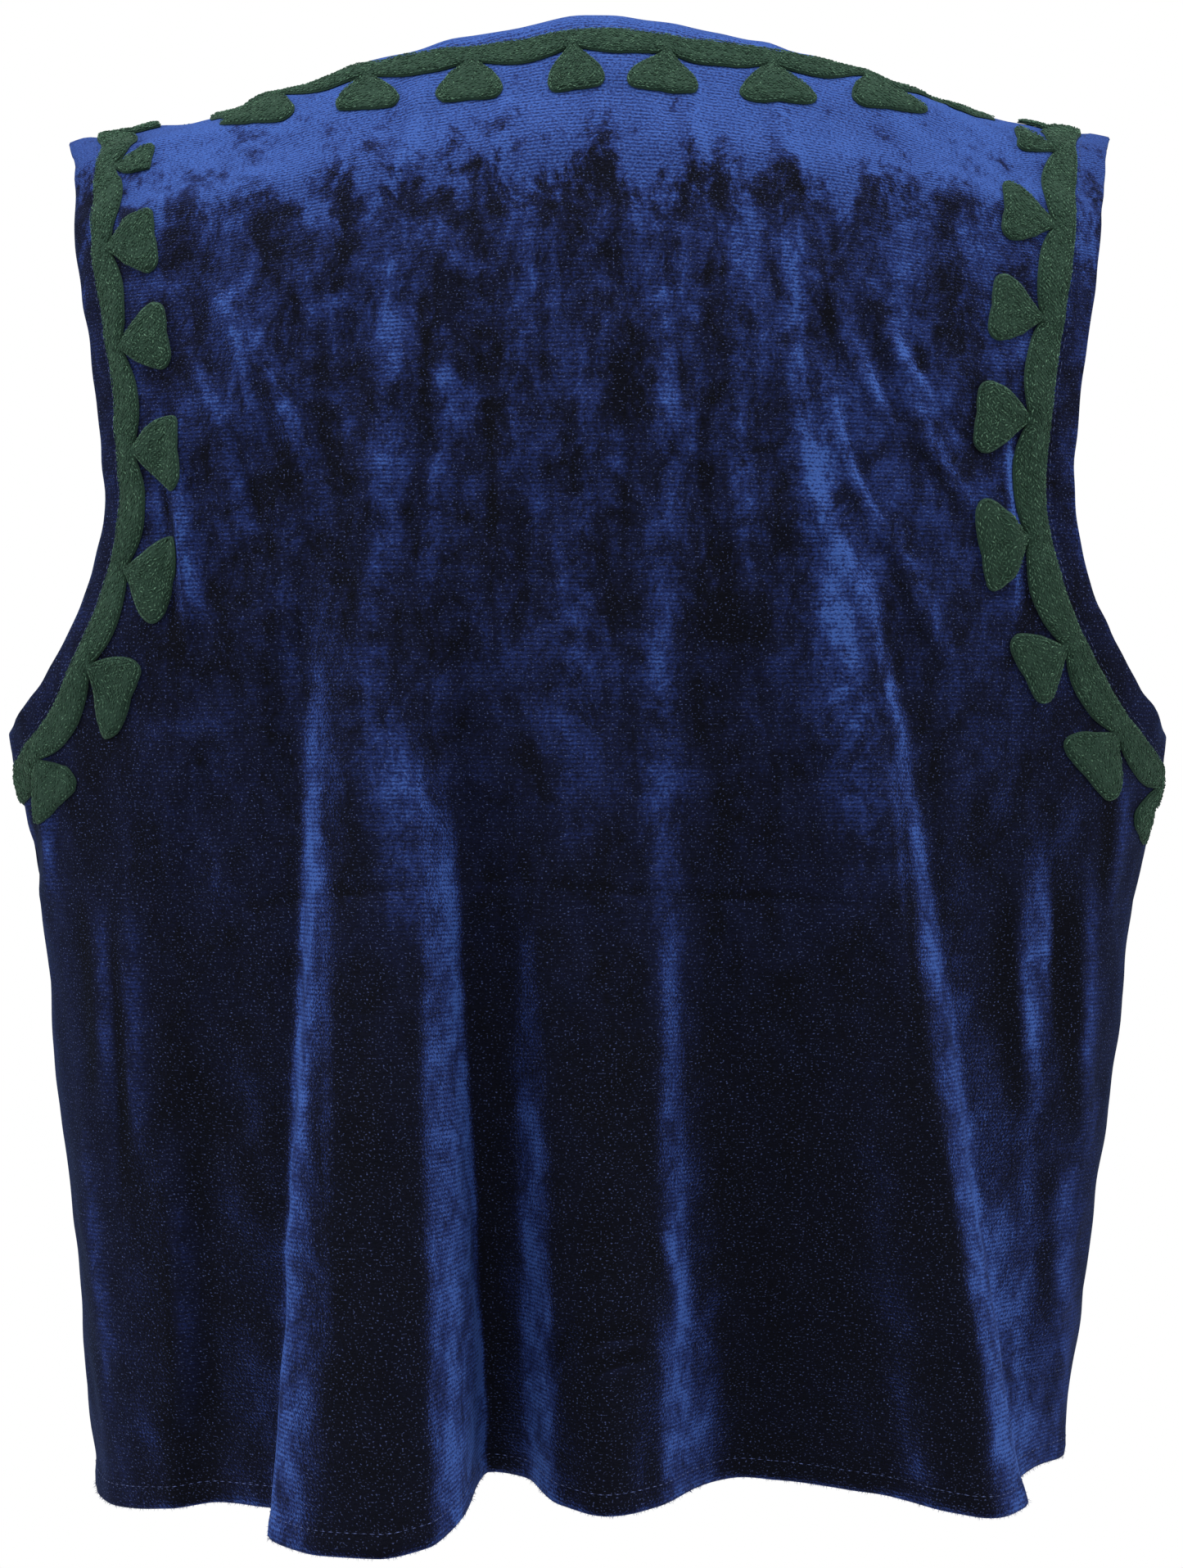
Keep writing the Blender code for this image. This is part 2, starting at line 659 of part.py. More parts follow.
def facing_out(solid, tris, cloth):
    """Direction out of the cloth at each point, long enough to keep the wall's thickness."""
    facets = unit(np.cross(solid[tris[:, 2]] - solid[tris[:, 0]], solid[tris[:, 1]] - solid[tris[:, 0]]))
    total = np.zeros_like(solid)
    for corner in range(3):
        a, b, c = (solid[tris[:, (corner + k) % 3]] for k in range(3))
        angle = np.arccos(np.clip(np.sum(unit(b - a) * unit(c - a), axis=1), -1, 1))
        np.add.at(total, tris[:, corner], facets * angle[:, None])
    mean = unit(total)
    lean = np.zeros(len(solid))
    count = np.zeros(len(solid))
    for corner in range(3):
        np.add.at(lean, tris[:, corner], np.sum(mean[tris[:, corner]] * facets, axis=1))
        np.add.at(count, tris[:, corner], 1)
    stretch = 1 / np.clip(lean / count, LEAST_LEAN, 1.0)
    at_side = np.abs(np.abs(cloth[:, 0]) - math.pi / 2) < SEAM_NEAR_ANGLE
    at_shoulder = np.abs(cloth[:, 1] - RIDGE_U) < SEAM_NEAR
    seam = (at_side | at_shoulder)[:, None]
    return np.where(seam, surface_normal(*cloth.T), mean * stretch[:, None])


def open_edges(tris):
    """Directed sides that only one triangle has."""
    sides = [(int(t[i]), int(t[(i + 1) % 3])) for t in tris for i in range(3)]
    known = set(sides)
    return [(a, b) for a, b in sides if (b, a) not in known]


def layer_mesh(name, near, far, tris):
    """Closed body between two layers with the same triangles; far is the outer layer."""
    used = sorted(set(tris.ravel().tolist()))
    number = {old: new for new, old in enumerate(used)}
    local = [[number[i] for i in t] for t in tris.tolist()]
    count = len(used)
    faces = [(a, c, b) for a, b, c in local]
    faces += [(a + count, b + count, c + count) for a, b, c in local]
    for a, b in open_edges(np.array(local)):
        faces += [(a, b, b + count), (a, b + count, a + count)]
    points = np.concatenate([far[used], near[used]]) * MM
    mesh = bpy.data.meshes.new(name)
    mesh.from_pydata(points.tolist(), [], faces)
    mesh.shade_smooth()
    mesh.set_sharp_from_angle(angle=math.radians(SHARP_ANGLE))
    return mesh


def finish_material(name, colour, roughness):
    material = bpy.data.materials.new(name)
    material.use_nodes = True
    shader = material.node_tree.nodes["Principled BSDF"]
    shader.inputs["Base Color"].default_value = colour
    shader.inputs["Roughness"].default_value = roughness
    shader.inputs["Metallic"].default_value = 0.0
    material.diffuse_color = colour
    return material


def add_object(name, mesh, material):
    mesh.materials.append(material)
    bpy.context.scene.collection.objects.link(bpy.data.objects.new(name, mesh))


def build_panel(name, outline, borders, low_u, high_u, folds, velvet, stitch):
    """One cut panel and the stretches of border that are stitched on it."""
    cloth, tris, parts = cut_panel(outline, list(borders.values()), low_u, high_u, folds)
    outer = surface(*cloth.T)
    out = facing_out(outer, tris, cloth)
    add_object(name, layer_mesh(name, outer - out * WALL, outer, tris), velvet)
    for border, part in zip(borders, parts):
        low = outer + out * STITCH_CLEARANCE
        high = outer + out * (STITCH_CLEARANCE + STITCH_HEIGHT)
        add_object(border, layer_mesh(border, low, high, tris[part]), stitch)


def flip(points):
    """Mirror a closed outline to the wearer's right."""
    return [(-angle, u) for angle, u in points]


def main():
    for item in list(bpy.data.objects):
        bpy.data.objects.remove(item)
    velvet = finish_material(*VELVET)
    stitch = finish_material(*CHAIN_STITCH)
    armhole = armhole_line()
    neck = neck_line()
    left_vine = armhole_border(armhole, -1)
    right_vine = armhole_border(flip(armhole), 1)
    neck_vine = neck_border(neck)
    build_panel("back_panel", back_outline(armhole, neck),
                {"neck_border_back": neck_vine,
                 "armhole_border_back_left": left_vine,
                 "armhole_border_back_right": right_vine},
                0.0, RIDGE_U, BACK_FOLDS, velvet, stitch)
    left = front_outline(armhole, neck)
    build_panel("front_left", left,
                {"edge_border_left": neck_vine, "armhole_border_front_left": left_vine},
                RIDGE_U, END_U, FRONT_FOLDS, velvet, stitch)
    build_panel("front_right", flip(left),
                {"edge_border_right": neck_vine, "armhole_border_front_right": right_vine},
                RIDGE_U, END_U, FRONT_FOLDS, velvet, stitch)


main()
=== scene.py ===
"""Dark blue stretch-velvet vest, filled out and seen from behind, with a chain-stitched vine border.

Lengths are in millimetres unless a name says otherwise; the meshes are made in metres.
The back faces +Y, the wearer's left is +X, and the origin is midway between the neck ends
of the shoulder seams.
"""
import math

import bpy
import numpy as np
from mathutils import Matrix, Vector
from mathutils.geometry import delaunay_2d_cdt
from mathutils.kdtree import KDTree


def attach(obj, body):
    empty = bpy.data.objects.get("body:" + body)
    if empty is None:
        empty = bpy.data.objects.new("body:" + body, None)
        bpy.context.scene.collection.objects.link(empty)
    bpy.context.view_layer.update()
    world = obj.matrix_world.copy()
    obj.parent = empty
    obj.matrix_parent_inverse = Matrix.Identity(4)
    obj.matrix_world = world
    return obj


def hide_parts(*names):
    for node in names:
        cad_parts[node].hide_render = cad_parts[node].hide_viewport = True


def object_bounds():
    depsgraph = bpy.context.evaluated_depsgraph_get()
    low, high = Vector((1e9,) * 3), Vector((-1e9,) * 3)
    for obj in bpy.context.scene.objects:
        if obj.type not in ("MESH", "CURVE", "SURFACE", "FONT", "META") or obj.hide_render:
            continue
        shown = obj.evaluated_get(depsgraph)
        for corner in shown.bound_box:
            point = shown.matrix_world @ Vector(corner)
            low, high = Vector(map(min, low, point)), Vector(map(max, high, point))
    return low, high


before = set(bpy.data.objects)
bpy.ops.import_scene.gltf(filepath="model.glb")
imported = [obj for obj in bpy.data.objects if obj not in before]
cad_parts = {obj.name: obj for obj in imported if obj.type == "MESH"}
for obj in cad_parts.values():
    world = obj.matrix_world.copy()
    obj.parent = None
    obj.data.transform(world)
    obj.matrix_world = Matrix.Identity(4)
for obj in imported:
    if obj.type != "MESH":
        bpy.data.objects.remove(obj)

SOLID_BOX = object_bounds()

MM = 0.001

# Cloth and seams
WALL = 1.6
SEAM_GAP = 0.3
RING_POWER = 2.3

# Centre line of the garment, from the back hem over the shoulders to the front hem.
# y and z place it, half is half the width there, shift moves the ring towards the
# wearer's left, and slope is how strongly the shoulders fall away to the sides.
CENTRE_LINE = (
    # (y, z, half, shift, slope)
    (105, -585, 206, 4.5, 0.0),
    (105.5, -500, 214, 3.0, 0.0),
    (106, -430, 223, 2.0, 0.0),
    (108, -342, 232.5, 1.0, 0.0),
    (112, -275, 245.5, 0.5, 0.0),
    (116, -220, 250, 0.5, 0.0),
    (118, -150, 251, 1.0, 0.08),
    (115, -90, 250, 1.0, 0.27),
    (106, -40, 248, 1.0, 0.6),
    (91, -12, 246, 0.5, 0.95),
    (76, 10, 245, 0.0, 1.2),
    (63, 22.5, 244, 0.0, 1.3),
    (46, 26, 244, 0.0, 1.25),
    (0, 25, 243, 0.0, 1.0),
    (-50, 19, 244, 0.0, 0.95),
    (-80, -7, 246, 0.0, 0.77),
    (-100, -50, 249, 0.0, 0.43),
    (-118, -120, 251, 0.0, 0.14),
    (-127, -190, 252, 0.0, 0.0),
    (-124, -275, 245.5, 0.5, 0.0),
    (-118, -342, 232.5, 1.0, 0.0),
    (-112, -430, 223, 2.0, 0.0),
    (-108, -500, 214, 3.0, 0.0),
    (-105, -585, 206, 4.5, 0.0),
)
HEM_Z = -585
RIDGE_ROW = 13

# How far the shoulder line falls from the neck out to the shoulder tips, and the sideways
# place of its highest point
YOKE_TOP_X = -5
SHOULDER_FALL = (
    # (distance from the highest point, fall)
    (0, 0.0),
    (60, 8.5),
    (100, 16.5),
    (140, 27.5),
    (160, 33.0),
    (180, 36.0),
    (200, 39.0),
    (215, 42.0),
    (255, 52.0),
)

# Folds that open towards the hem, one row for each ridge, edge or valley line.
# hem_x and top_x place the line at the hem and at FOLD_TOP_Z, depth moves the cloth
# out, lean moves it sideways and sag lifts the hem. start is where the line begins.
FOLD_TOP_Z = -150
SAG_TOP_Z = -400
FOLD_GROWTH = 1.2
BACK_FOLDS = (
    # (hem_x, top_x, depth, lean, sag, start)
    (-206, -240, 0, 0, 10, -150),
    (-194, -140, -6, 0, 9, -150),
    (-184, -108, 2, 3, 6, -150),
    (-180, -97, 22, -1, 0, -150),
    (-170, -90, 32, 0, -1, -150),
    (-150, -84, 22, 0, 1, -170),
    (-124, -76, -4, 0, 5, -180),
    (-94, -62, -22, 0, 8, -190),
    (-66, -44, -30, 0, 10, -200),
    (-48, -32, -20, 0, 8, -200),
    (-32, -18, 4, 0, 5, -200),
    (-12, -2, 12, 0, 3, -220),
    (8, 22, 4, 0, 6, -220),
    (22, 42, -22, 0, 12, -200),
    (36, 56, -28, 0, 13, -190),
    (50, 70, 14, -4, 2, -170),
    (60, 76, 36, -2, -5, -160),
    (78, 83, 46, 0, -8, -150),
    (100, 90, 44, 0, -8, -150),
    (117, 97, 26, 5, -6, -150),
    (126, 112, -8, -5, -1, -150),
    (146, 150, -14, 0, -1, -170),
    (168, 190, -3, 0, -4, -200),
    (196, 225, 3, 0, -6, -200),
    (206, 240, 0, 0, -4, -150),
)
FRONT_FOLDS = (
    # (hem_x, top_x, depth, lean, sag, start)
    (-206, -240, 0, 0, 10, -200),
    (-184, -212, -7, 0, 8, -230),
    (-160, -186, 12, 0, 3, -200),
    (-136, -150, -8, 0, 4, -210),
    (-112, -124, 14, 0, -2, -190),
    (-90, -100, -7, 0, 2, -230),
    (-70, -80, 5, 0, 0, -260),
    (0, 0, 0, 0, 0, -260),
    (72, 80, 6, 0, -1, -260),
    (92, 105, -6, 0, 1, -230),
    (116, 130, 15, 0, -5, -190),
    (140, 160, -9, 0, 0, -210),
    (164, 190, 11, 0, -6, -200),
    (186, 215, -7, 0, -3, -230),
    (206, 240, 0, 0, -4, -200),
)

# The wearer's left armhole edge turns in towards the body over its last few centimetres
ROLL_DEPTH = 11
ROLL_WIDTH = 26
ROLL_FROM_ANGLE = 30
ROLL_TOP_Z = (-25, -70)
ROLL_FOOT_Z = (-215, -262)

# Neckline: a half ellipse in plan behind, running on into the front edges
NECK_HALF_WIDTH = 138
NECK_BACK_DEPTH = 62
FRONT_EDGE = (
    # (distance from the shoulder line along the centre line, x)
    (0, 138),
    (30, 137),
    (60, 133),
    (100, 124),
    (160, 106),
    (220, 90),
    (300, 78),
    (400, 73),
    (520, 72),
    (700, 74),
)

# Armhole edges from the shoulder tip to the underarm, as angle round the ring and height
SHOULDER_TIP_ANGLE = 62.1
UNDERARM_Z = -277
ARMHOLE_BACK = (
    # (z, angle)
    (-34, 57.9),
    (-71, 54.2),
    (-105, 51.6),
    (-139, 49.7),
    (-173, 48.7),
    (-206, 50.8),
    (-239, 57.5),
    (-256, 64.2),
    (-270, 76.0),
)
ARMHOLE_FRONT = (
    # (z, angle)
    (-36, 57.0),
    (-65, 52.5),
    (-100, 49.0),
    (-140, 46.5),
    (-180, 46.0),
    (-215, 49.5),
    (-243, 57.0),
    (-259, 65.0),
    (-271, 77.0),
)

# Creases in the cloth, as seen from behind: each runs from one place to another with a
# bow at its middle; depth is out for a ridge and in for a trough, width is half its width.
BACK_CREASES = (
    # (from_x, from_z, to_x, to_z, bow, width, depth)
    # the cloth was stored folded in four
    (110, -300, 106, -535, 2, 2.0, -0.9),
    (-124, -296, -130, -385, 0, 2.0, -0.8),
    (146, -346, 36, -331, 3, 2.2, -0.7),
    (39, -331, -134, -341, -2, 2.2, -0.7),
    # a thin ridge down the right flank of the first fold
    (50, -455, 42, -560, -2, 1.8, 1.6),
    # small wrinkles low in the middle fold
    (2, -517, -24, -511, 2, 2.2, -1.6),
    (-2, -527, -25, -522, 2, 2.2, -1.4),
    (5, -506, 15, -545, -5, 2.4, -1.8),
    (-28, -470, -34, -520, 3, 4.0, 1.6),
    # drag lines from the wearer's right shoulder blade
    (-96, -90, -142, -168, -9, 3.6, 1.9),
    (-106, -82, -152, -150, -8, 3.2, 1.6),
    (-118, -96, -160, -190, -9, 3.6, 1.8),
    (-92, -120, -128, -208, -7, 3.6, 1.7),
    (-84, -150, -114, -226, -5, 3.4, 1.6),
    (-100, -140, -120, -190, -3, 2.4, -1.2),
    (-112, -118, -136, -166, -4, 2.4, -1.4),
    (-128, -112, -158, -160, -5, 2.4, -1.2),
    (-122, -186, -146, -246, -4, 4.0, 1.6),
    (-108, -210, -130, -290, -3, 4.0, 1.8),
    # the same from the left one, shorter
    (150, -92, 118, -176, 7, 3.6, 1.8),
    (160, -84, 136, -150, 6, 3.2, 1.6),
    (140, -118, 108, -190, 5, 3.4, 1.6),
    (164, -118, 140, -196, 6, 3.4, 1.6),
    (152, -150, 124, -214, 5, 3.0, -1.3),
    (176, -150, 160, -232, 4, 3.6, 1.8),
    # a long thin ridge just inside the armhole buds
    (163, -134, 160, -246, -3, 2.6, 2.4),
    (172, -128, 168, -236, 0, 4.5, -2.2),
    (-164, -140, -170, -232, 3, 2.6, 1.8),
    (-172, -134, -177, -224, 0, 4.5, -1.8),
    # long soft streaks hanging from the shoulder blades
    (60, -60, 66, -230, 3, 6.0, 1.4),
    (84, -70, 92, -260, 4, 6.5, 1.5),
    (30, -90, 34, -260, -2, 5.0, 1.1),
    (4, -110, 8, -250, 2, 5.0, 1.0),
    (-28, -80, -30, -240, -2, 5.5, 1.2),
    (-56, -70, -64, -230, -3, 6.0, 1.4),
    (-78, -60, -90, -200, -4, 6.0, 1.4),
    (44, -120, 40, -200, 2, 3.0, -1.0),
    (18, -150, 22, -230, 2, 3.0, -0.9),
    (-14, -140, -10, -220, 2, 3.0, -0.9),
    (-44, -130, -50, -210, -2, 3.0, -1.0),
    # the fold edge in front of the left underarm band
    (228, -272, 226, -345, 2, 4.0, 3.0),
    (237, -284, 235, -338, 1, 4.5, -3.0),
    # soft upright ridges down the sides
    (206, -330, 200, -430, 3, 6.0, 2.2),
    (188, -336, 184, -440, -3, 7.0, 2.0),
    (196, -350, 192, -470, 2, 4.0, -1.6),
    (214, -430, 200, -560, 2, 6.0, 1.6),
    (176, -430, 168, -560, 3, 7.0, 1.5),
    (-176, -330, -182, -430, -3, 6.0, 2.2),
    (-188, -320, -192, -400, 2, 5.0, -2.0),
    (-206, -330, -206, -450, -3, 6.0, 1.8),
    (-196, -440, -196, -560, -2, 6.0, 1.4),
    (-218, -286, -214, -350, 2, 5.0, 1.8),
    # pulls below the neck border
    (70, -8, 84, -60, 4, 4.0, 1.2),
    (34, 0, 40, -50, 2, 4.0, 1.0),
    (-4, 4, -6, -46, -2, 4.0, 1.0),
    (-40, 0, -48, -52, -3, 4.0, 1.2),
    (-76, -10, -92, -60, -4, 4.0, 1.2),
)
FRONT_CREASES = (
    # (from_x, from_z, to_x, to_z, bow, width, depth)
    (118, -290, 112, -520, 2, 2.0, -0.9),
    (-118, -300, -124, -510, -2, 2.0, -0.9),
    (80, -334, 190, -340, 2, 2.2, -0.7),
    (-80, -336, -186, -331, 2, 2.2, -0.7),
    (150, -70, 112, -160, 7, 3.6, 1.8),
    (166, -96, 130, -190, 6, 3.4, 1.7),
    (142, -126, 104, -206, 5, 3.2, -1.3),
    (170, -190, 140, -262, 5, 4.0, 1.8),
    (-150, -72, -110, -165, -7, 3.6, 1.8),
    (-168, -100, -128, -186, -6, 3.4, 1.6),
    (-140, -130, -106, -210, -5, 3.2, -1.3),
    (-172, -186, -138, -258, -5, 4.0, 1.8),
    (216, -300, 208, -420, 3, 6.0, 2.0),
    (190, -320, 182, -450, -3, 6.0, 1.7),
    (-214, -296, -206, -415, -3, 6.0, 2.0),
    (-186, -316, -180, -452, 3, 6.0, 1.7),
    (94, -240, 98, -400, 3, 5.0, 1.4),
    (-96, -236, -100, -396, -3, 5.0, 1.4),
    (100, -430, 96, -540, -2, 4.0, 1.3),
    (-102, -426, -96, -545, 2, 4.0, 1.3),
)

# How strongly a crease a millimetre deep paints light and shade into the pile's colour: a painted highlight
# along one side of the crease's middle and painted shade along the other, and the crease fades at its ends.
LIGHT_PER_DEPTH = 0.45
LIT_SIDE = 0.5
SHADED_SIDE = -1.0
SHADE_SHARE = 0.6
SIDE_SHARPNESS = 1.3
END_FADE = 0.7

# Upright streaks of painted sheen on the back, where the cloth itself stays smooth
BACK_SHEEN_STREAKS = (
    # (from_x, from_z, to_x, to_z, width, strength)
    (-88, -120, -115, -350, 12.0, 1.5),
    (-26, -170, -33, -420, 9.0, 0.8),
    (9, -190, 5, -330, 11.0, 0.7),
    (84, -235, 66, -370, 14.0, 1.0),
)

# Turned and topstitched edges
HEM_TURNING = 8.0
EDGE_TURNING = 11.0
TURNING_RISE = 0.7
TURNING_SOFTNESS = 1.5
STITCH_GROOVE = 0.6
GROOVE_WIDTH = 1.1
SEAM_GROOVE = 1.1
SEAM_GROOVE_WIDTH = 2.2

# Small unevenness of the hanging cloth: wavelength and height
SOFT_WAVES = (
    # (wavelength, height)
    (46, 0.55),
    (21, 0.28),
)
WAVE_COUNT = 14
WAVE_SPREAD = (0.7, 1.4)
BORDER_PUCKER = (19, 0.4)
BORDER_PUCKER_REACH = 52
BORDER_PUCKER_SEED = 7

# Vine border: a band with a scalloped inner edge and a leaf bud at each junction
BORDER_MARGIN = 13
BAND_WIDTH = 10.5
SCALLOP_BULGE = 5
BUD_SPACING = 40
NECK_PHASE = 8
HEM_MARGIN = 13
END_CLEARANCE = 22
FIRST_BUD_FROM_TIP = 12
LAST_BUD_CLEARANCE = 12
VINE_PAST_SIDE_SEAM = 0.5
# Shares of the way between two junctions where a scallop begins and ends, and its least
# distance from them
SCALLOP_PART = (0.06, 0.94)
LEAST_SCALLOP_POINTS = 4
JUNCTION_CLEARANCE = 3
# Hand-guided work is uneven: the share of its full size that a bud has, and how far it leans
BUD_SIZES = (0.95, 1.04)
BUD_LEAN = 0.09
# Buds are smaller where neck and armhole borders come close together on the shoulders
SMALL_BUD = 0.72
SMALL_BUD_BEHIND = 60
SMALL_NECK_BUD_BEHIND = 30
SMALL_BUD_BEFORE = 120
SEAM_CLEARANCE = 17
BUD_HALF_OUTLINE = (
    # (distance from the bud's axis, distance from the band)
    (1.8, 0.0),
    (5.6, 4.0),
    (9.4, 8.6),
    (12.2, 13.4),
    (13.4, 17.8),
    (12.4, 21.2),
    (9.2, 23.0),
    (4.6, 23.0),
    (0.0, 22.4),
)
BUD_POINTS = 26
VINE_CLEARANCE = 0.3
VINE_RIM = 0.35
VINE_HEIGHT = 1.7
VINE_ROUND = 4.2
VINE_STEP = 2.3
VINE_ROW_SHARE = 0.87
VINE_JITTER = 0.1
OUTLINE_STEP = 1.5

# Chain stitches are pairs of legs, laid in rows that follow the outline
LEG_LENGTH = 2.0
LEG_WIDTH = 0.66
LEG_HEIGHT = 0.6
LEG_TURN = 30
# The turn varies by this, in radians, and the height above the bed between these
LEG_TURN_SPREAD = 0.22
LEG_RISE = (-0.12, 0.3)
LEG_PITCH = 1.45
ROW_PITCH = 1.05
LEG_JITTER = 0.32
LEG_AHEAD = 0.8
EDGE_ROW_INSET = 0.7
FILL_INSET = 1.7 * EDGE_ROW_INSET
STITCH_SEED = 50

# Tone of the thread, from 0, dark, to 1, light: middle and spread of the legs, and the rest
LEG_TONE = (0.42, 0.18)
LEAST_LEG_TONE = 0.05
EDGE_ROW_EXTRA = 0.06
BED_TONE = 0.12

# Topstitching thread, and the angle by which the front hem's row starts inside the edge
TOPSTITCH_PITCH = 3.4
TOPSTITCH_LENGTH = 2.7
THREAD_WIDTH = 0.4
THREAD_SHOWN = 0.35
FRONT_STITCH_START = 0.03

# Loose ends of pile along the back hem
FIBRES = 2600
FIBRE_FALL = 1.1
FIBRE_LIFT = 0.3
FIBRE_SHOWN = 0.35
FIBRE_LENGTHS = (0.8, 2.6)
FIBRE_WIDTH = 0.16
FIBRE_SEED = 90

# Mesh steps in millimetres, counts of points, and the limits of searches
CLOTH_STEP = 3.1
CREASE_STEP = 2.4
CREASE_OFFSETS = (-0.9, 0.0, 0.9)
CREASE_CLEARANCE = 0.5 * CLOTH_STEP
EDGE_CLEARANCE = 0.55 * CLOTH_STEP
FIND_STEPS = 4
FIND_LIMIT = 1.0
GRID_COLUMNS = 421
GRID_ROW_STEP = 2.4
GRID_MARGIN = 0.2
PLANE_SCALE = 200
WALK_STEPS = 12
STRIP_STEP = 3
FINE_POINTS = 900
HALVINGS = 40
# Subtracted from a count of grid lines, this keeps a place within the last cell
LAST_CELL = 1.001
POINTS_AT_ONCE = 4000
MERGE_DISTANCE = 1e-4
SIDE_SEAM_POINTS = 30
SHOULDER_POINTS = 36
BACK_HEM_POINTS = 240
FRONT_HEM_POINTS = 90
HEM_THREAD_POINTS = 400
FRONT_THREAD_POINTS = 200
NECK_POINTS = 10
FRONT_EDGE_RUNS = (20, 40, 60, 80)
FRONT_EDGE_START = 100
FRONT_EDGE_POINTS = 12
# What lies this close to a seam is on it, and the neck's curve starts a little past it
SEAM_NEAR = 1
SEAM_NEAR_ANGLE = 0.01
NECK_FROM_SEAM = 2
LEAST_TANGENT = 0.2
ROLL_LIMIT = 1.3

# Sizes of the patterns, across and up. The knitted rows are 1.1 mm apart and the wales of the
# wrong side 1 mm, and both are drawn coarser so that they show.
STREAK_SIZE = (20.0, 20.0, 83.33)
CLOUD_SIZE = (16.667, 16.667, 21.74)
PILE_ENDS_PER_MM = (0.9, 1.1, 1.0)
KNIT_ROW = 1.8
KNIT_RELIEF = 0.3
PILE_RELIEF = 0.7
WALE = 2.0
WRONG_SIDE_CLOUD = 20.0
THREAD_FIBRE = 0.3
THREAD_RELIEF = 0.2
THREAD_PLY = 1.1
BANDS_PER_SCALE = 10 / math.pi

# Colours: the velvet from dark to its lightest painted sheen and painted light, then the other finishes, from
# dark to light
VELVET_TONES = (
    # (place on the ramp, colour)
    (0.0, "#0a0b12"),
    (0.22, "#11152b"),
    (0.55, "#1e2a58"),
    (1.0, "#35508f"),
)
WRONG_SIDE_TONES = ((0.3, "#101637"), (0.7, "#1c2556"))
CHAIN_TONES = ((0.0, "#182a22"), (0.45, "#2c4638"), (1.0, "#597a64"))
SEWING_TONES = ((0.35, "#1d2547"), (0.65, "#4d5b8c"))
FLOOR_TONES = ((0.0, "#f4f4f4"), (1.0, "#f8f8f8"))
PILE_GLINT = "#5b6a9e"
PILE_SHEEN = "#5878c0"
CHAIN_SHEEN = "#9fbfa4"


def smooth_slopes(xs, ys):
    """Slopes of a curve that passes through each point and never overshoots one."""
    steps = np.diff(xs, axis=-1)
    rises = np.diff(ys, axis=-1) / steps
    before, after = rises[..., :-1], rises[..., 1:]
    weight = (steps[..., :-1] + 2 * steps[..., 1:]) / (3 * (steps[..., :-1] + steps[..., 1:]))
    same_way = before * after > 0
    blend = np.where(same_way, weight * before + (1 - weight) * after, 1.0)
    inner = np.where(same_way, before * after / blend, 0.0)
    return np.concatenate([rises[..., :1], inner, rises[..., -1:]], axis=-1)


def smooth_through(xs, ys, x):
    """Value at x of the smooth curve through the points; each x may have its own points."""
    xs, ys = np.broadcast_arrays(xs, ys)
    slopes = smooth_slopes(xs, ys)
    place = np.clip(np.sum(x[..., None] >= xs, axis=-1) - 1, 0, xs.shape[-1] - 2)

    def pick(table, offset):
        spread = np.broadcast_to(table, x.shape + (table.shape[-1],))
        return np.take_along_axis(spread, (place + offset)[..., None], axis=-1)[..., 0]

    width = pick(xs, 1) - pick(xs, 0)
    f = np.clip((x - pick(xs, 0)) / width, 0.0, 1.0)
    return ((1 + 2 * f) * (1 - f) ** 2 * pick(ys, 0) + f * (1 - f) ** 2 * width * pick(slopes, 0)
            + f * f * (3 - 2 * f) * pick(ys, 1) + f * f * (f - 1) * width * pick(slopes, 1))


def soft_step(value, start, end):
    """0 before start, 1 after end, with a soft change between them."""
    f = np.clip((value - start) / (end - start), 0.0, 1.0)
    return f * f * (3 - 2 * f)


def unit(vectors):
    """The vectors, each made one unit long."""
    return vectors / np.maximum(np.linalg.norm(vectors, axis=-1, keepdims=True), 1e-12)


LINE = np.array(CENTRE_LINE, dtype=float)
LINE_U = np.concatenate([[0.0], np.cumsum(np.hypot(*np.diff(LINE[:, :2], axis=0).T))])
RIDGE_U = LINE_U[RIDGE_ROW]
END_U = LINE_U[-1]
SEAM_ANGLE = math.pi / 2 - SEAM_GAP / 2 / LINE[:, 0].max()


def centre(u, column):
    """One column of the centre line at distance u from the back hem."""
    return smooth_through(LINE_U, LINE[:, column], np.asarray(u, dtype=float))


def ring(angle):
    """Sideways and forward share of a ring's size at an angle from its middle."""
    s, c = np.sin(angle), np.cos(angle)
    size = (np.abs(s) ** RING_POWER + np.abs(c) ** RING_POWER) ** (1 / RING_POWER)
    return s / size, c / size


def ring_angle(share):
    """Angle at which a ring is this share of its half width from the middle."""
    share = np.clip(np.asarray(share, dtype=float), -1.0, 1.0)
    return np.arctan2(share, (1 - np.abs(share) ** RING_POWER) ** (1 / RING_POWER))


NECK_ANGLE = float(ring_angle(NECK_HALF_WIDTH / LINE[RIDGE_ROW, 2]))


def shoulder_fall(x):
    """How far the shoulder line has fallen at x, for a slope of 1."""
    table = np.array(SHOULDER_FALL, dtype=float)
    both_sides = np.concatenate([table[:0:-1] * (-1, 1), table])
    return smooth_through(both_sides[:, 0], both_sides[:, 1], np.asarray(x, dtype=float) - YOKE_TOP_X)


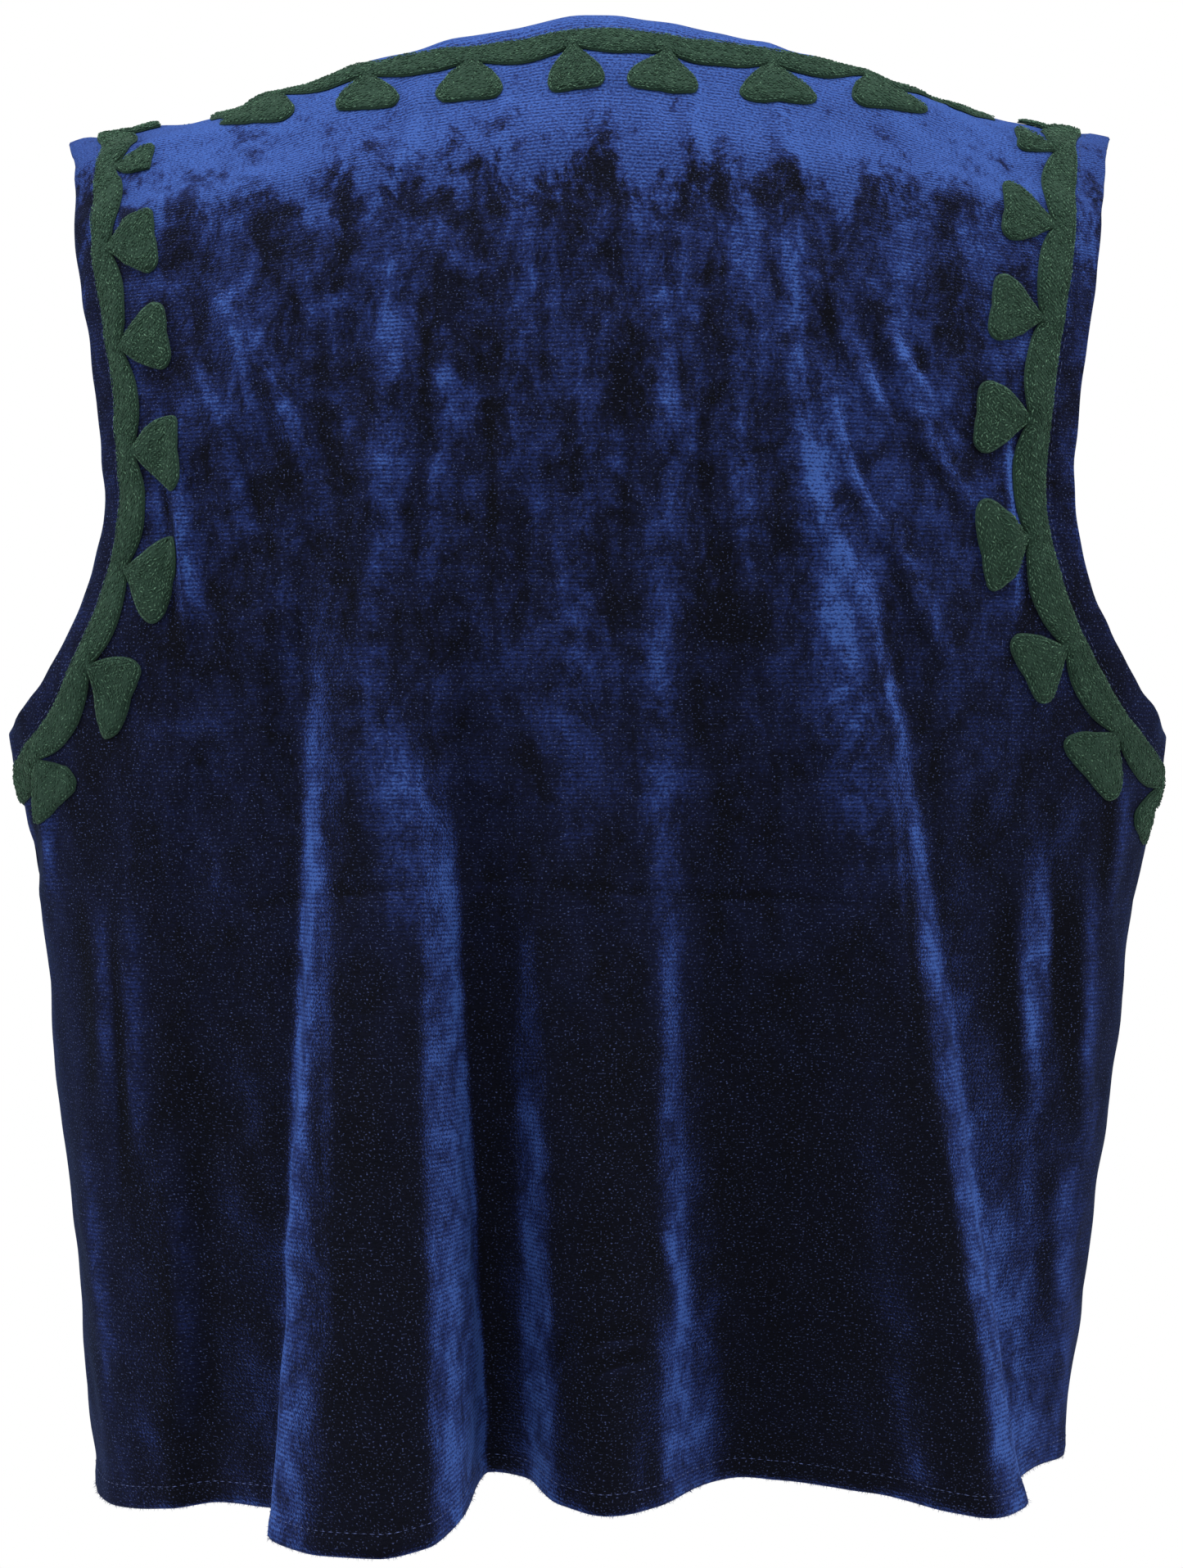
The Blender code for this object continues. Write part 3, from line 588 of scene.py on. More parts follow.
def fold_shift(folds, x, z):
    """Depth, lean and sag of the folds at sideways place x and height z."""
    table = np.array(folds, dtype=float)
    rise = np.clip((z[..., None] - HEM_Z) / (FOLD_TOP_Z - HEM_Z), 0.0, 1.0)
    lines = table[:, 0] + (table[:, 1] - table[:, 0]) * rise
    growth = np.clip((table[:, 5] - z[..., None]) / (table[:, 5] - HEM_Z), 0.0, 1.0) ** FOLD_GROWTH
    near_hem = np.clip((SAG_TOP_Z - z) / (SAG_TOP_Z - HEM_Z), 0.0, 1.0) ** 2
    depth = smooth_through(lines, table[:, 2] * growth, x)
    lean = smooth_through(lines, table[:, 3] * growth, x)
    return depth, lean, smooth_through(lines, table[:, 4] + 0 * growth, x) * near_hem


def armhole_angle(rows, z):
    """Angle of the armhole edge at height z."""
    table = np.array(rows, dtype=float)[::-1]
    return np.radians(smooth_through(table[:, 0], table[:, 1], np.asarray(z, dtype=float)))


def edge_roll(angle, x, z):
    """How far the wearer's left armhole edge has turned in."""
    reach = np.abs(x) / np.maximum(np.tan(np.abs(angle)), LEAST_TANGENT)
    to_edge = (armhole_angle(ARMHOLE_BACK, z) - angle) * reach
    near = np.clip(1 - to_edge / ROLL_WIDTH, 0.0, ROLL_LIMIT) ** 2 * (angle > math.radians(ROLL_FROM_ANGLE))
    above_foot = soft_step(z, ROLL_FOOT_Z[1], ROLL_FOOT_Z[0])
    below_top = 1 - soft_step(z, ROLL_TOP_Z[1], ROLL_TOP_Z[0])
    return ROLL_DEPTH * near * above_foot * below_top


def surface(angle, u):
    """Point of the plain cloth's outer face at an angle round the ring, u along the centre line."""
    angle, u = np.asarray(angle, dtype=float), np.asarray(u, dtype=float)
    across, forward = ring(angle)
    x = centre(u, 2) * across
    y = centre(u, 0) * forward
    z = centre(u, 1) - centre(u, 4) * shoulder_fall(x)
    behind = np.broadcast_to(u < RIDGE_U, x.shape)
    moves = np.zeros((3,) + x.shape)
    for folds, here in ((BACK_FOLDS, behind), (FRONT_FOLDS, ~behind)):
        if here.any():
            moves[:, here] = fold_shift(folds, x[here], z[here])
    away = np.where(behind, 1.0, -1.0)
    y = y + away * moves[0] - np.where(behind, edge_roll(angle, x, z), 0.0)
    return np.stack([x + moves[1] + centre(u, 3), y, z + moves[2]], axis=-1)


def find_u(z, angle, low, high):
    """Distance along the centre line at which the ring's point at this angle has height z."""
    low, high = float(low), float(high)
    share = ring(np.radians(angle))[0]
    rising = low < RIDGE_U - SEAM_NEAR
    for _ in range(HALVINGS):
        middle = (low + high) / 2
        x = centre(middle, 2) * share
        height = centre(middle, 1) - centre(middle, 4) * shoulder_fall(x)
        if (height < z) == rising:
            low = middle
        else:
            high = middle
    return (low + high) / 2


def run_length(points):
    """Length of a line of points up to each of them."""
    return np.concatenate([[0.0], np.cumsum(np.linalg.norm(np.diff(points, axis=0), axis=1))])


def even_points(points, step):
    """The smooth line through cloth places, with a point about every step of real length."""
    points = np.array(points, dtype=float)
    marks = run_length(surface(*points.T))
    fine = np.linspace(0, marks[-1], FINE_POINTS)
    dense = np.stack([smooth_through(marks, points[:, i], fine) for i in (0, 1)], axis=1)
    length = run_length(surface(*dense.T))
    wanted = np.linspace(0, length[-1], max(2, round(length[-1] / step) + 1))
    return np.stack([np.interp(wanted, length, dense[:, i]) for i in (0, 1)], axis=1)


def armhole_line():
    """Armhole edge on the wearer's left, from the back underarm over the shoulder to the front."""
    back_under = (math.pi / 2, find_u(UNDERARM_Z, 90, 0, RIDGE_U))
    front_under = (math.pi / 2, find_u(UNDERARM_Z, 90, RIDGE_U, END_U))
    back = [(math.radians(a), find_u(z, a, 0, RIDGE_U)) for z, a in reversed(ARMHOLE_BACK)]
    front = [(math.radians(a), find_u(z, a, RIDGE_U, END_U)) for z, a in ARMHOLE_FRONT]
    return [back_under] + back + [(math.radians(SHOULDER_TIP_ANGLE), RIDGE_U)] + front + [front_under]


def neck_line():
    """Edge from the wearer's left front hem round the neck to the right front hem."""
    def place(x, u):
        return (float(ring_angle(x / centre(u, 2))), u)
    table = np.array(FRONT_EDGE, dtype=float)
    low_runs = np.linspace(END_U - RIDGE_U, FRONT_EDGE_START, FRONT_EDGE_POINTS)
    runs = np.concatenate([low_runs, FRONT_EDGE_RUNS[::-1]])
    left = [place(smooth_through(table[:, 0], table[:, 1], np.array(run)), RIDGE_U + run) for run in runs]
    turns = np.radians(np.linspace(0, 90, NECK_POINTS))
    behind = [place(NECK_HALF_WIDTH * math.cos(a), RIDGE_U - NECK_BACK_DEPTH * math.sin(a)) for a in turns]
    half = left + behind
    return half + [(-angle, u) for angle, u in reversed(half[:-1])]


def flip(points):
    """Mirror places on the cloth to the wearer's right."""
    return [(-angle, u) for angle, u in points]


def past_underarm(points):
    """The armhole line carried a little way past the side seam at both ends."""
    side = math.copysign(math.pi, points[0][0])
    before = [(side - angle, u) for angle, u in points[2:0:-1]]
    after = [(side - angle, u) for angle, u in points[-2:-4:-1]]
    return before + list(points) + after


ARMHOLE = armhole_line()
NECK = neck_line()


def waves(points, wavelength, seed):
    """Smooth unevenness of about -1 to 1, from waves of nearly one length in mixed directions."""
    rng = np.random.default_rng(seed)
    ways = unit(rng.normal(size=(WAVE_COUNT, 3))) * 2 * math.pi / wavelength
    ways *= rng.uniform(*WAVE_SPREAD, size=(WAVE_COUNT, 1))
    phases = rng.uniform(0, 2 * math.pi, WAVE_COUNT)
    total = np.zeros(points.shape[:-1])
    for way, phase in zip(ways, phases):
        total += np.sin(points @ way + phase)
    return total / math.sqrt(WAVE_COUNT)


def crease_rise_and_light(creases, x, z):
    """How far the creases move the cloth out at sideways place x and height z, and the light painted beside
    them: a painted highlight on the upper side of a ridge and painted shade on the other."""
    rise, pile = np.zeros_like(x), np.zeros_like(x)
    for from_x, from_z, to_x, to_z, bow, width, depth in creases:
        way_x, way_z = to_x - from_x, to_z - from_z
        size = math.hypot(way_x, way_z)
        t = ((x - from_x) * way_x + (z - from_z) * way_z) / size ** 2
        off = ((x - from_x) * way_z - (z - from_z) * way_x) / size
        along = np.clip(t, 0.0, 1.0)
        fade = np.sin(math.pi * along) ** END_FADE
        off = (off - bow * 4 * along * (1 - along)) / width
        rise += depth * fade * np.exp(-off ** 2)
        # painted highlight on one side of the crease's middle, painted shade on the other
        lit_side = np.exp(-(off * SIDE_SHARPNESS - LIT_SIDE) ** 2)
        closed = np.exp(-(off * SIDE_SHARPNESS - SHADED_SIDE) ** 2)
        pile += np.clip(depth * LIGHT_PER_DEPTH, -1.0, 1.0) * fade * (lit_side - SHADE_SHARE * closed)
    return rise, pile


def painted_sheen_streaks(streaks, x, z):
    """How much painted sheen the streaks add at sideways place x and height z."""
    pile = np.zeros_like(x)
    for from_x, from_z, to_x, to_z, width, strength in streaks:
        t = (z - from_z) / (to_z - from_z)
        off = (x - from_x - (to_x - from_x) * t) / width
        pile += strength * np.sin(math.pi * np.clip(t, 0.0, 1.0)) * np.exp(-off ** 2)
    return pile


def nearest(points, marks):
    """For each point, the distance and number of the nearest mark."""
    tree = KDTree(len(marks))
    size = marks.shape[1]
    for i, mark in enumerate(marks.tolist()):
        tree.insert(mark + [0.0] * (3 - size), i)
    tree.balance()
    found = [tree.find(p + [0.0] * (3 - size))[1:] for p in points.tolist()]
    return np.array([f[1] for f in found]), np.array([f[0] for f in found])


def edge_distance(points, edges):
    """Distance of each point of a grid from the nearest of some edge lines."""
    marks = np.concatenate([surface(*even_points(edge, STRIP_STEP).T) for edge in edges])
    gap, _ = nearest(points.reshape(-1, 3), marks)
    return gap.reshape(points.shape[:-1])


class Cloth:
    """The finished cloth, folds and creases included, as a fine grid of places to read from."""

    def __init__(self):
        limit = math.pi / 2 + GRID_MARGIN
        self.angles = np.linspace(-limit, limit, GRID_COLUMNS)
        self.us = np.linspace(0, END_U, round(END_U / GRID_ROW_STEP) + 1)
        plain = surface(self.angles[None, :], self.us[:, None])
        x, z = plain[..., 0], plain[..., 2]
        behind = np.broadcast_to(self.us[:, None] < RIDGE_U, x.shape)
        marks = zip(crease_rise_and_light(BACK_CREASES, x, z), crease_rise_and_light(FRONT_CREASES, x, z))
        # self.pile is painted light for the velvet's colour: painted highlight and shade along the creases,
        # and the painted sheen streaks
        rise, self.pile = (np.where(behind, back, front) for back, front in marks)
        self.pile += np.where(behind, painted_sheen_streaks(BACK_SHEEN_STREAKS, x, z), 0.0)
        for seed, (wavelength, height) in enumerate(SOFT_WAVES):
            rise += height * waves(plain, wavelength, seed)
        to_edge = edge_distance(plain, [ARMHOLE, flip(ARMHOLE), NECK])
        to_hem = np.minimum(self.us, END_U - self.us)[:, None] + np.zeros_like(x)
        border = np.exp(-(to_edge / BORDER_PUCKER_REACH) ** 4)
        rise += border * BORDER_PUCKER[1] * waves(plain, BORDER_PUCKER[0], BORDER_PUCKER_SEED)
        for distance, turning in ((to_edge, EDGE_TURNING), (to_hem, HEM_TURNING)):
            start, end = turning - TURNING_SOFTNESS, turning + TURNING_SOFTNESS
            rise += TURNING_RISE * (1 - soft_step(distance, start, end))
            rise -= STITCH_GROOVE * np.exp(-((distance - turning) / GROOVE_WIDTH) ** 2)
        to_side = (math.pi / 2 - np.abs(self.angles))[None, :] * np.abs(LINE[0, 0])
        to_ridge = np.abs(self.us - RIDGE_U)[:, None] + np.zeros_like(x)
        for distance in (np.abs(to_side) + np.zeros_like(x), to_ridge):
            rise -= SEAM_GROOVE * np.exp(-(distance / SEAM_GROOVE_WIDTH) ** 2)
        self.points = plain + self.facing(plain) * rise[..., None]
        self.normals = self.facing(self.points)
        self.round_ring = np.gradient(self.points, self.angles, axis=1)
        self.along = np.gradient(self.points, self.us, axis=0)
        steps = np.linalg.norm(np.diff(self.points, axis=1), axis=-1)
        across = np.concatenate([np.zeros((len(self.us), 1)), np.cumsum(steps, axis=1)], axis=1)
        self.across = across - across[:, GRID_COLUMNS // 2][:, None]

    def facing(self, points):
        """Direction out of the cloth at each place of the grid."""
        round_ring = np.gradient(points, self.angles, axis=1)
        along = np.gradient(points, self.us, axis=0)
        return unit(np.cross(along, round_ring))

    def read(self, table, at):
        """Value of a table of the grid at places on the cloth, between its grid points."""
        at = np.asarray(at, dtype=float)
        column = (at[:, 0] - self.angles[0]) / (self.angles[1] - self.angles[0])
        column = np.clip(column, 0, GRID_COLUMNS - LAST_CELL)
        row = np.clip(at[:, 1] / (self.us[1] - self.us[0]), 0, len(self.us) - LAST_CELL)
        j, i = column.astype(int), row.astype(int)
        fj, fi = column - j, row - i
        if table.ndim == 3:
            fj, fi = fj[:, None], fi[:, None]
        low = table[i, j] * (1 - fj) + table[i, j + 1] * fj
        high = table[i + 1, j] * (1 - fj) + table[i + 1, j + 1] * fj
        return low * (1 - fi) + high * fi

    def find(self, x, z, at):
        """Places of the cloth at sideways place x and height z, from places close to them."""
        for _ in range(FIND_STEPS):
            here = self.point(at)
            a, b = self.read(self.round_ring, at), self.read(self.along, at)
            dx, dz = x - here[:, 0], z - here[:, 2]
            det = a[:, 0] * b[:, 2] - a[:, 2] * b[:, 0]
            step = np.stack([dx * b[:, 2] - dz * b[:, 0], dz * a[:, 0] - dx * a[:, 2]], axis=1)
            at = at + step / det[:, None]
        return at

    def point(self, at):
        return self.read(self.points, at)

    def normal(self, at):
        return unit(self.read(self.normals, at))


CLOTH = Cloth()


class EdgeStrip:
    """Places points by their distance along an edge and their distance in from it."""

    def __init__(self, line, inward):
        self.plane = even_points(line, STRIP_STEP)
        solid = CLOTH.point(self.plane)
        self.length = run_length(solid)
        along = unit(np.gradient(solid, axis=0))
        self.inward = unit(inward * np.cross(CLOTH.normal(self.plane), along))

    def where(self, angle, u):
        """Distance along the edge of its point nearest to a place."""
        gap = np.hypot((self.plane[:, 0] - angle) * PLANE_SCALE, self.plane[:, 1] - u)
        return self.length[np.argmin(gap)]

    def place(self, points):
        """Walk in from the edge over the cloth, in short steps."""
        points = np.array(points, dtype=float)
        at = np.stack([np.interp(points[:, 0], self.length, self.plane[:, i]) for i in (0, 1)], axis=1)
        way = np.stack([np.interp(points[:, 0], self.length, self.inward[:, i]) for i in range(3)], axis=1)
        step = points[:, 1:2] / WALK_STEPS
        for _ in range(WALK_STEPS):
            round_ring, along = CLOTH.read(CLOTH.round_ring, at), CLOTH.read(CLOTH.along, at)
            normal = unit(np.cross(along, round_ring))
            way = unit(way - normal * np.sum(way * normal, axis=1, keepdims=True))
            aa = np.sum(round_ring * round_ring, axis=1)
            ab = np.sum(round_ring * along, axis=1)
            bb = np.sum(along * along, axis=1)
            wa = np.sum(way * round_ring, axis=1)
            wb = np.sum(way * along, axis=1)
            det = aa * bb - ab * ab
            at = at + step * np.stack([(wa * bb - wb * ab) / det, (wb * aa - wa * ab) / det], axis=1)
        return at


def loop_area(loop):
    """Area of a closed loop, positive where it runs counter-clockwise."""
    after = np.roll(loop, -1, axis=0)
    return np.sum(loop[:, 0] * after[:, 1] - after[:, 0] * loop[:, 1]) / 2


def inside(points, loop):
    """Whether each point lies inside a closed loop."""
    ax, ay = loop[:, 0], loop[:, 1]
    bx, by = np.roll(ax, -1), np.roll(ay, -1)
    rise = np.where(by == ay, 1.0, by - ay)
    found = []
    for part in np.array_split(points, max(1, len(points) // POINTS_AT_ONCE)):
        px, py = part[:, :1], part[:, 1:]
        crosses = (ay > py) != (by > py)
        found.append(np.sum(crosses & (px < ax + (py - ay) * (bx - ax) / rise), axis=1) % 2 == 1)
    return np.concatenate(found)


def triangles_in(loop, grid):
    """Triangles over a closed loop and the grid points inside it, all counter-clockwise."""
    if loop_area(loop) < 0:
        loop = loop[::-1]
    points = np.concatenate([loop, grid])
    rim = list(range(len(loop)))
    vectors = [Vector(p) for p in points.tolist()]
    coords, _, tris, _, _, sources = delaunay_2d_cdt(vectors, [], [rim], 0, MERGE_DISTANCE)
    kept = [tri for tri, source in zip(tris, sources) if source]
    return np.array([c[:] for c in coords]), np.array(kept)


def rim_sides(tris):
    """Directed sides that only one triangle has."""
    count = int(tris.max()) + 1
    sides = np.concatenate([tris[:, [0, 1]], tris[:, [1, 2]], tris[:, [2, 0]]])
    forward = sides[:, 0].astype(np.int64) * count + sides[:, 1]
    backward = sides[:, 1].astype(np.int64) * count + sides[:, 0]
    return sides[~np.isin(forward, backward)]


def new_piece(name, points, faces, materials):
    """Add one piece from points in millimetres."""
    mesh = bpy.data.meshes.new(name)
    mesh.from_pydata((points * MM).tolist(), [], faces)
    mesh.shade_smooth()
    for material in materials:
        mesh.materials.append(material)
    piece = bpy.data.objects.new(name, mesh)
    bpy.context.scene.collection.objects.link(piece)
    return piece


def crease_points(creases, low_u):
    """Extra cloth places along the creases, so that they stay sharp."""
    spots = []
    for from_x, from_z, to_x, to_z, bow, width, _ in creases:
        size = math.hypot(to_x - from_x, to_z - from_z)
        side_x, side_z = (to_z - from_z) / size, -(to_x - from_x) / size
        for t in np.arange(0.0, size, CREASE_STEP)[1:] / size:
            for off in CREASE_OFFSETS:
                move = bow * 4 * t * (1 - t) + off * width
                spots.append((from_x + (to_x - from_x) * t + side_x * move,
                              from_z + (to_z - from_z) * t + side_z * move))
    spots = np.array(spots)
    coarse = slice(None, None, 2)
    places = np.stack(np.meshgrid(CLOTH.us[coarse], CLOTH.angles[coarse], indexing="ij")[::-1], axis=-1)
    here = (places[..., 1] < RIDGE_U) == (low_u < RIDGE_U - SEAM_NEAR)
    _, mark = nearest(spots, CLOTH.points[coarse, coarse][here][:, [0, 2]])
    at = CLOTH.find(spots[:, 0], spots[:, 1], places[here][mark])
    off = np.hypot(*(CLOTH.point(at)[:, [0, 2]] - spots).T)
    return at[off < FIND_LIMIT]


def velvet_panel(name, outline, creases, low_u, high_u, materials):
    """One panel of cloth: right side, wrong side and rounded edges, closed all round."""
    loop = np.array(outline)
    rows = []
    step_u = CLOTH_STEP * math.sqrt(3) / 2
    for number, u in enumerate(np.arange(low_u + step_u / 2, high_u, step_u)):
        line = CLOTH.read(CLOTH.across, np.stack([CLOTH.angles, np.full(GRID_COLUMNS, u)], axis=1))
        spots = np.arange(line[0], line[-1], CLOTH_STEP) + (number % 2) * CLOTH_STEP / 2
        rows.append(np.stack([np.interp(spots, line, CLOTH.angles), np.full(len(spots), u)], axis=1))
    grid = np.concatenate(rows)
    scale = np.array([PLANE_SCALE, 1.0])
    grid = grid[inside(grid * scale, loop * scale)]
    sharp = crease_points(creases, low_u)
    sharp = sharp[inside(sharp * scale, loop * scale)]
    gap, _ = nearest(CLOTH.point(grid), CLOTH.point(sharp))
    grid = np.concatenate([grid[gap > CREASE_CLEARANCE], sharp])
    gap, _ = nearest(CLOTH.point(grid), CLOTH.point(loop))
    grid = grid[gap > EDGE_CLEARANCE]
    flat, tris = triangles_in(loop * scale, grid * scale)
    at = flat / scale
    outer, normal = CLOTH.point(at), CLOTH.normal(at)
    inner = outer - normal * WALL
    count = len(at)
    sides = rim_sides(tris)
    rim = sides[:, 0]
    number = {int(v): 2 * count + k for k, v in enumerate(rim)}
    after = {int(a): int(b) for a, b in sides}
    before = {b: a for a, b in after.items()}
    way = unit(np.array([outer[after[int(v)]] - outer[before[int(v)]] for v in rim]))
    at_side_seam = np.abs(np.abs(at[rim, 0]) - math.pi / 2) < SEAM_NEAR_ANGLE
    at_seam = at_side_seam | (np.abs(at[rim, 1] - RIDGE_U) < SEAM_NEAR)
    bulge = np.where(at_seam, 0.0, WALL / 2)[:, None]
    middle = (outer[rim] + inner[rim]) / 2 + np.cross(normal[rim], way) * bulge
    faces = np.concatenate([tris[:, ::-1], tris + count]).tolist()
    for a, b in sides.tolist():
        faces.append((a, b, number[b], number[a]))
        faces.append((number[a], number[b], b + count, a + count))
    piece = new_piece(name, np.concatenate([outer, inner, middle]), faces, materials)
    places = np.concatenate([at, at, at[rim]])
    cloth_map(piece, places)
    # the painted light and shade of the creases and the painted sheen streaks, stored for the velvet's colour
    paint(piece, "painted_crease_and_streak_light", CLOTH.read(CLOTH.pile, places))
    wrong_side = np.zeros(len(faces), dtype=np.int32)
    wrong_side[len(tris):2 * len(tris)] = 1
    piece.data.polygons.foreach_set("material_index", wrong_side)
    return piece


def cloth_map(piece, at):
    """Give a piece the cloth's own measure: millimetres across and along, as a map."""
    across = CLOTH.read(CLOTH.across, at)
    measure = np.stack([across, at[:, 1]], axis=1)
    layer = piece.data.uv_layers.new(name="cloth")
    corners = np.empty(len(piece.data.loops), dtype=np.int32)
    piece.data.loops.foreach_get("vertex_index", corners)
    layer.data.foreach_set("uv", measure[corners].ravel())


def paint(piece, name, values):
    """Store one value for each point of a piece, for its material."""
    piece.data.attributes.new(name, "FLOAT", "POINT").data.foreach_set("value", values)


def back_outline():
    """Outline of the back panel."""
    seam_us = np.linspace(0, ARMHOLE[0][1], SIDE_SEAM_POINTS)
    seam = even_points([(SEAM_ANGLE, u) for u in seam_us], CLOTH_STEP)
    scoop = even_points(ARMHOLE[:len(ARMHOLE_BACK) + 2], CLOTH_STEP)[1:-1]
    turns = np.linspace(math.radians(SHOULDER_TIP_ANGLE), NECK_ANGLE, SHOULDER_POINTS)
    shoulder = [(a, RIDGE_U - SEAM_GAP / 2 / float(ring(a)[1])) for a in turns]
    neck = even_points([p for p in NECK if p[1] < RIDGE_U + SEAM_NEAR], CLOTH_STEP)
    middle = [tuple(p) for p in neck if p[1] < RIDGE_U - NECK_FROM_SEAM and p[0] > 0]
    half = [tuple(p) for p in np.concatenate([seam, scoop])] + shoulder + middle
    hem = even_points([(a, 0.0) for a in np.linspace(-SEAM_ANGLE, SEAM_ANGLE, BACK_HEM_POINTS)], CLOTH_STEP)
    return [tuple(p) for p in hem[1:-1]] + half + [(-a, u) for a, u in reversed(half)]


def front_outline():
    """Outline of the wearer's left front panel."""
    seam_us = np.linspace(ARMHOLE[-1][1], END_U, SIDE_SEAM_POINTS)
    seam = even_points([(SEAM_ANGLE, u) for u in seam_us], CLOTH_STEP)
    scoop = even_points(ARMHOLE[len(ARMHOLE_BACK) + 1:], CLOTH_STEP)[1:-1]
    turns = np.linspace(NECK_ANGLE, math.radians(SHOULDER_TIP_ANGLE), SHOULDER_POINTS)
    shoulder = [(a, RIDGE_U + SEAM_GAP / 2 / float(ring(a)[1])) for a in turns]
    edge = even_points([p for p in NECK if p[0] > 0 and p[1] >= RIDGE_U - SEAM_NEAR], CLOTH_STEP)
    edge = [tuple(p) for p in edge if p[1] > RIDGE_U + NECK_FROM_SEAM]
    hem_angles = np.linspace(SEAM_ANGLE, edge[0][0], FRONT_HEM_POINTS)
    hem = even_points([(a, END_U) for a in hem_angles], CLOTH_STEP)
    body = [tuple(p) for p in np.concatenate([scoop, seam])]
    return edge + shoulder + body + [tuple(p) for p in hem[1:-1]]


def armhole_buds(tip, seam, small):
    """Junctions from the shoulder tip to a side seam, with the size of the bud on each."""
    way = math.copysign(1, seam - tip)
    runs = np.arange(FIRST_BUD_FROM_TIP, abs(seam - tip) - LAST_BUD_CLEARANCE, BUD_SPACING)
    return [(tip + way * run, SMALL_BUD if run < small else 1.0) for run in runs]


def armhole_vine(line, inward):
    """Strip, start, end and bud places of the vine round one armhole."""
    strip = EdgeStrip(past_underarm(line), inward)
    first = strip.where(*line[0])
    last = strip.where(*line[-1])
    tip = strip.where(*line[len(ARMHOLE_BACK) + 1])
    behind = armhole_buds(tip, first, SMALL_BUD_BEHIND)[::-1]
    before = armhole_buds(tip + BUD_SPACING - 2 * FIRST_BUD_FROM_TIP, last, SMALL_BUD_BEFORE)
    return strip, first - VINE_PAST_SIDE_SEAM, last + VINE_PAST_SIDE_SEAM, behind + before


def neck_vines():
    """Strip, start, end and bud places of three runs: left front edge, back neck, right front edge."""
    strip = EdgeStrip(NECK, -1)
    left, right = strip.where(NECK_ANGLE, RIDGE_U), strip.where(-NECK_ANGLE, RIDGE_U)
    start, end = HEM_MARGIN, strip.length[-1] - HEM_MARGIN
    middle = (left + right) / 2 - NECK_PHASE
    low = math.ceil((start + END_CLEARANCE - middle) / BUD_SPACING)
    high = math.floor((end - END_CLEARANCE - middle) / BUD_SPACING)
    junctions = []
    for s in middle + BUD_SPACING * np.arange(low, high + 1):
        seam = left if s < middle else right
        if abs(s - seam) < SEAM_CLEARANCE:
            s = seam + math.copysign(SEAM_CLEARANCE, s - seam)
        past_shoulder = max(left - s, s - right)
        small = -SMALL_NECK_BUD_BEHIND < past_shoulder < SMALL_BUD_BEFORE
        junctions.append((s, SMALL_BUD if small else 1.0))
    stops = (start, left, right, end)
    return [(strip, low + SEAM_GAP / 2, high - SEAM_GAP / 2, [j for j in junctions if low < j[0] < high])
            for low, high in zip(stops, stops[1:])]


def even_loop(points, step):
    """A closed loop with a point about every step."""
    points = np.array(points, dtype=float)
    closed = np.concatenate([points, points[:1]])
    length = run_length(closed)
    wanted = np.linspace(0, length[-1], round(length[-1] / step) + 1)[:-1]
    return np.stack([np.interp(wanted, length, closed[:, i]) for i in (0, 1)], axis=1)


def bud_curve(size, lean):
    """Rounded outline of one leaf bud, from one side of its stem round to the other."""
    half = np.array(BUD_HALF_OUTLINE) * size
    marks = np.arange(len(half), dtype=float)
    fine = np.linspace(0, len(half) - 1, BUD_POINTS)
    side, out = (smooth_through(marks, half[:, i], fine) for i in (0, 1))
    left = [(-s + lean * o, o) for s, o in zip(side, out)]
    right = [(s + lean * o, o) for s, o in zip(side[-2::-1], out[-2::-1])]
    return left + right


def vine_outline(start, end, junctions, seed):
    """Outline of band and buds, as distance along the edge and distance in from it."""
    rng = np.random.default_rng(seed)
    base = BORDER_MARGIN + BAND_WIDTH
    stops = [(start, 0)] + list(junctions) + [(end, 0)]
    inner = []
    for (before, _), (after, size) in zip(stops, stops[1:]):
        gap = after - before
        for part in np.linspace(*SCALLOP_PART, max(LEAST_SCALLOP_POINTS, round(gap / OUTLINE_STEP))):
            place = before + gap * part
            if min(abs(place - before), abs(place - after)) > JUNCTION_CLEARANCE:
                inner.append((place, base + SCALLOP_BULGE * math.sin(math.pi * part)))
        if size:
            own = size * rng.uniform(*BUD_SIZES)
            lean = rng.uniform(-BUD_LEAN, BUD_LEAN)
            inner += [(after + side, base + out) for side, out in bud_curve(own, lean)]
    outer = [(end, BORDER_MARGIN), (start, BORDER_MARGIN)]
    return even_loop([(start, base)] + inner + [(end, base)] + outer, OUTLINE_STEP)


def hex_points(loop, pitch, row_pitch, seed, jitter):
    """Staggered points inside a loop, a little uneven."""
    rng = np.random.default_rng(seed)
    low, high = loop.min(axis=0), loop.max(axis=0)
    rows = []
    for number, v in enumerate(np.arange(low[1] + row_pitch / 2, high[1], row_pitch)):
        us = np.arange(low[0], high[0], pitch) + (number % 2) * pitch / 2
        rows.append(np.stack([us, np.full(len(us), v)], axis=1))
    points = np.concatenate(rows)
    points = points + rng.uniform(-jitter, jitter, points.shape)
    return points[inside(points, loop)]


def vine_height(gap):
    """Height of the embroidery above the cloth at a distance in from its outline."""
    f = np.clip(gap / VINE_ROUND, 0.0, 1.0)
    return VINE_CLEARANCE + VINE_RIM + (VINE_HEIGHT - VINE_RIM) * np.sqrt(1 - (1 - f) ** 2)


def layers(at, tris, low, high):
    """Points and faces of a closed body between two heights over the cloth."""
    base, normal = CLOTH.point(at), CLOTH.normal(at)
    count = len(at)
    faces = np.concatenate([tris[:, ::-1], tris + count]).tolist()
    for a, b in rim_sides(tris).tolist():
        faces.append((a, b, b + count, a + count))
    points = np.concatenate([base + normal * high[:, None], base + normal * low[:, None]])
    return points, faces


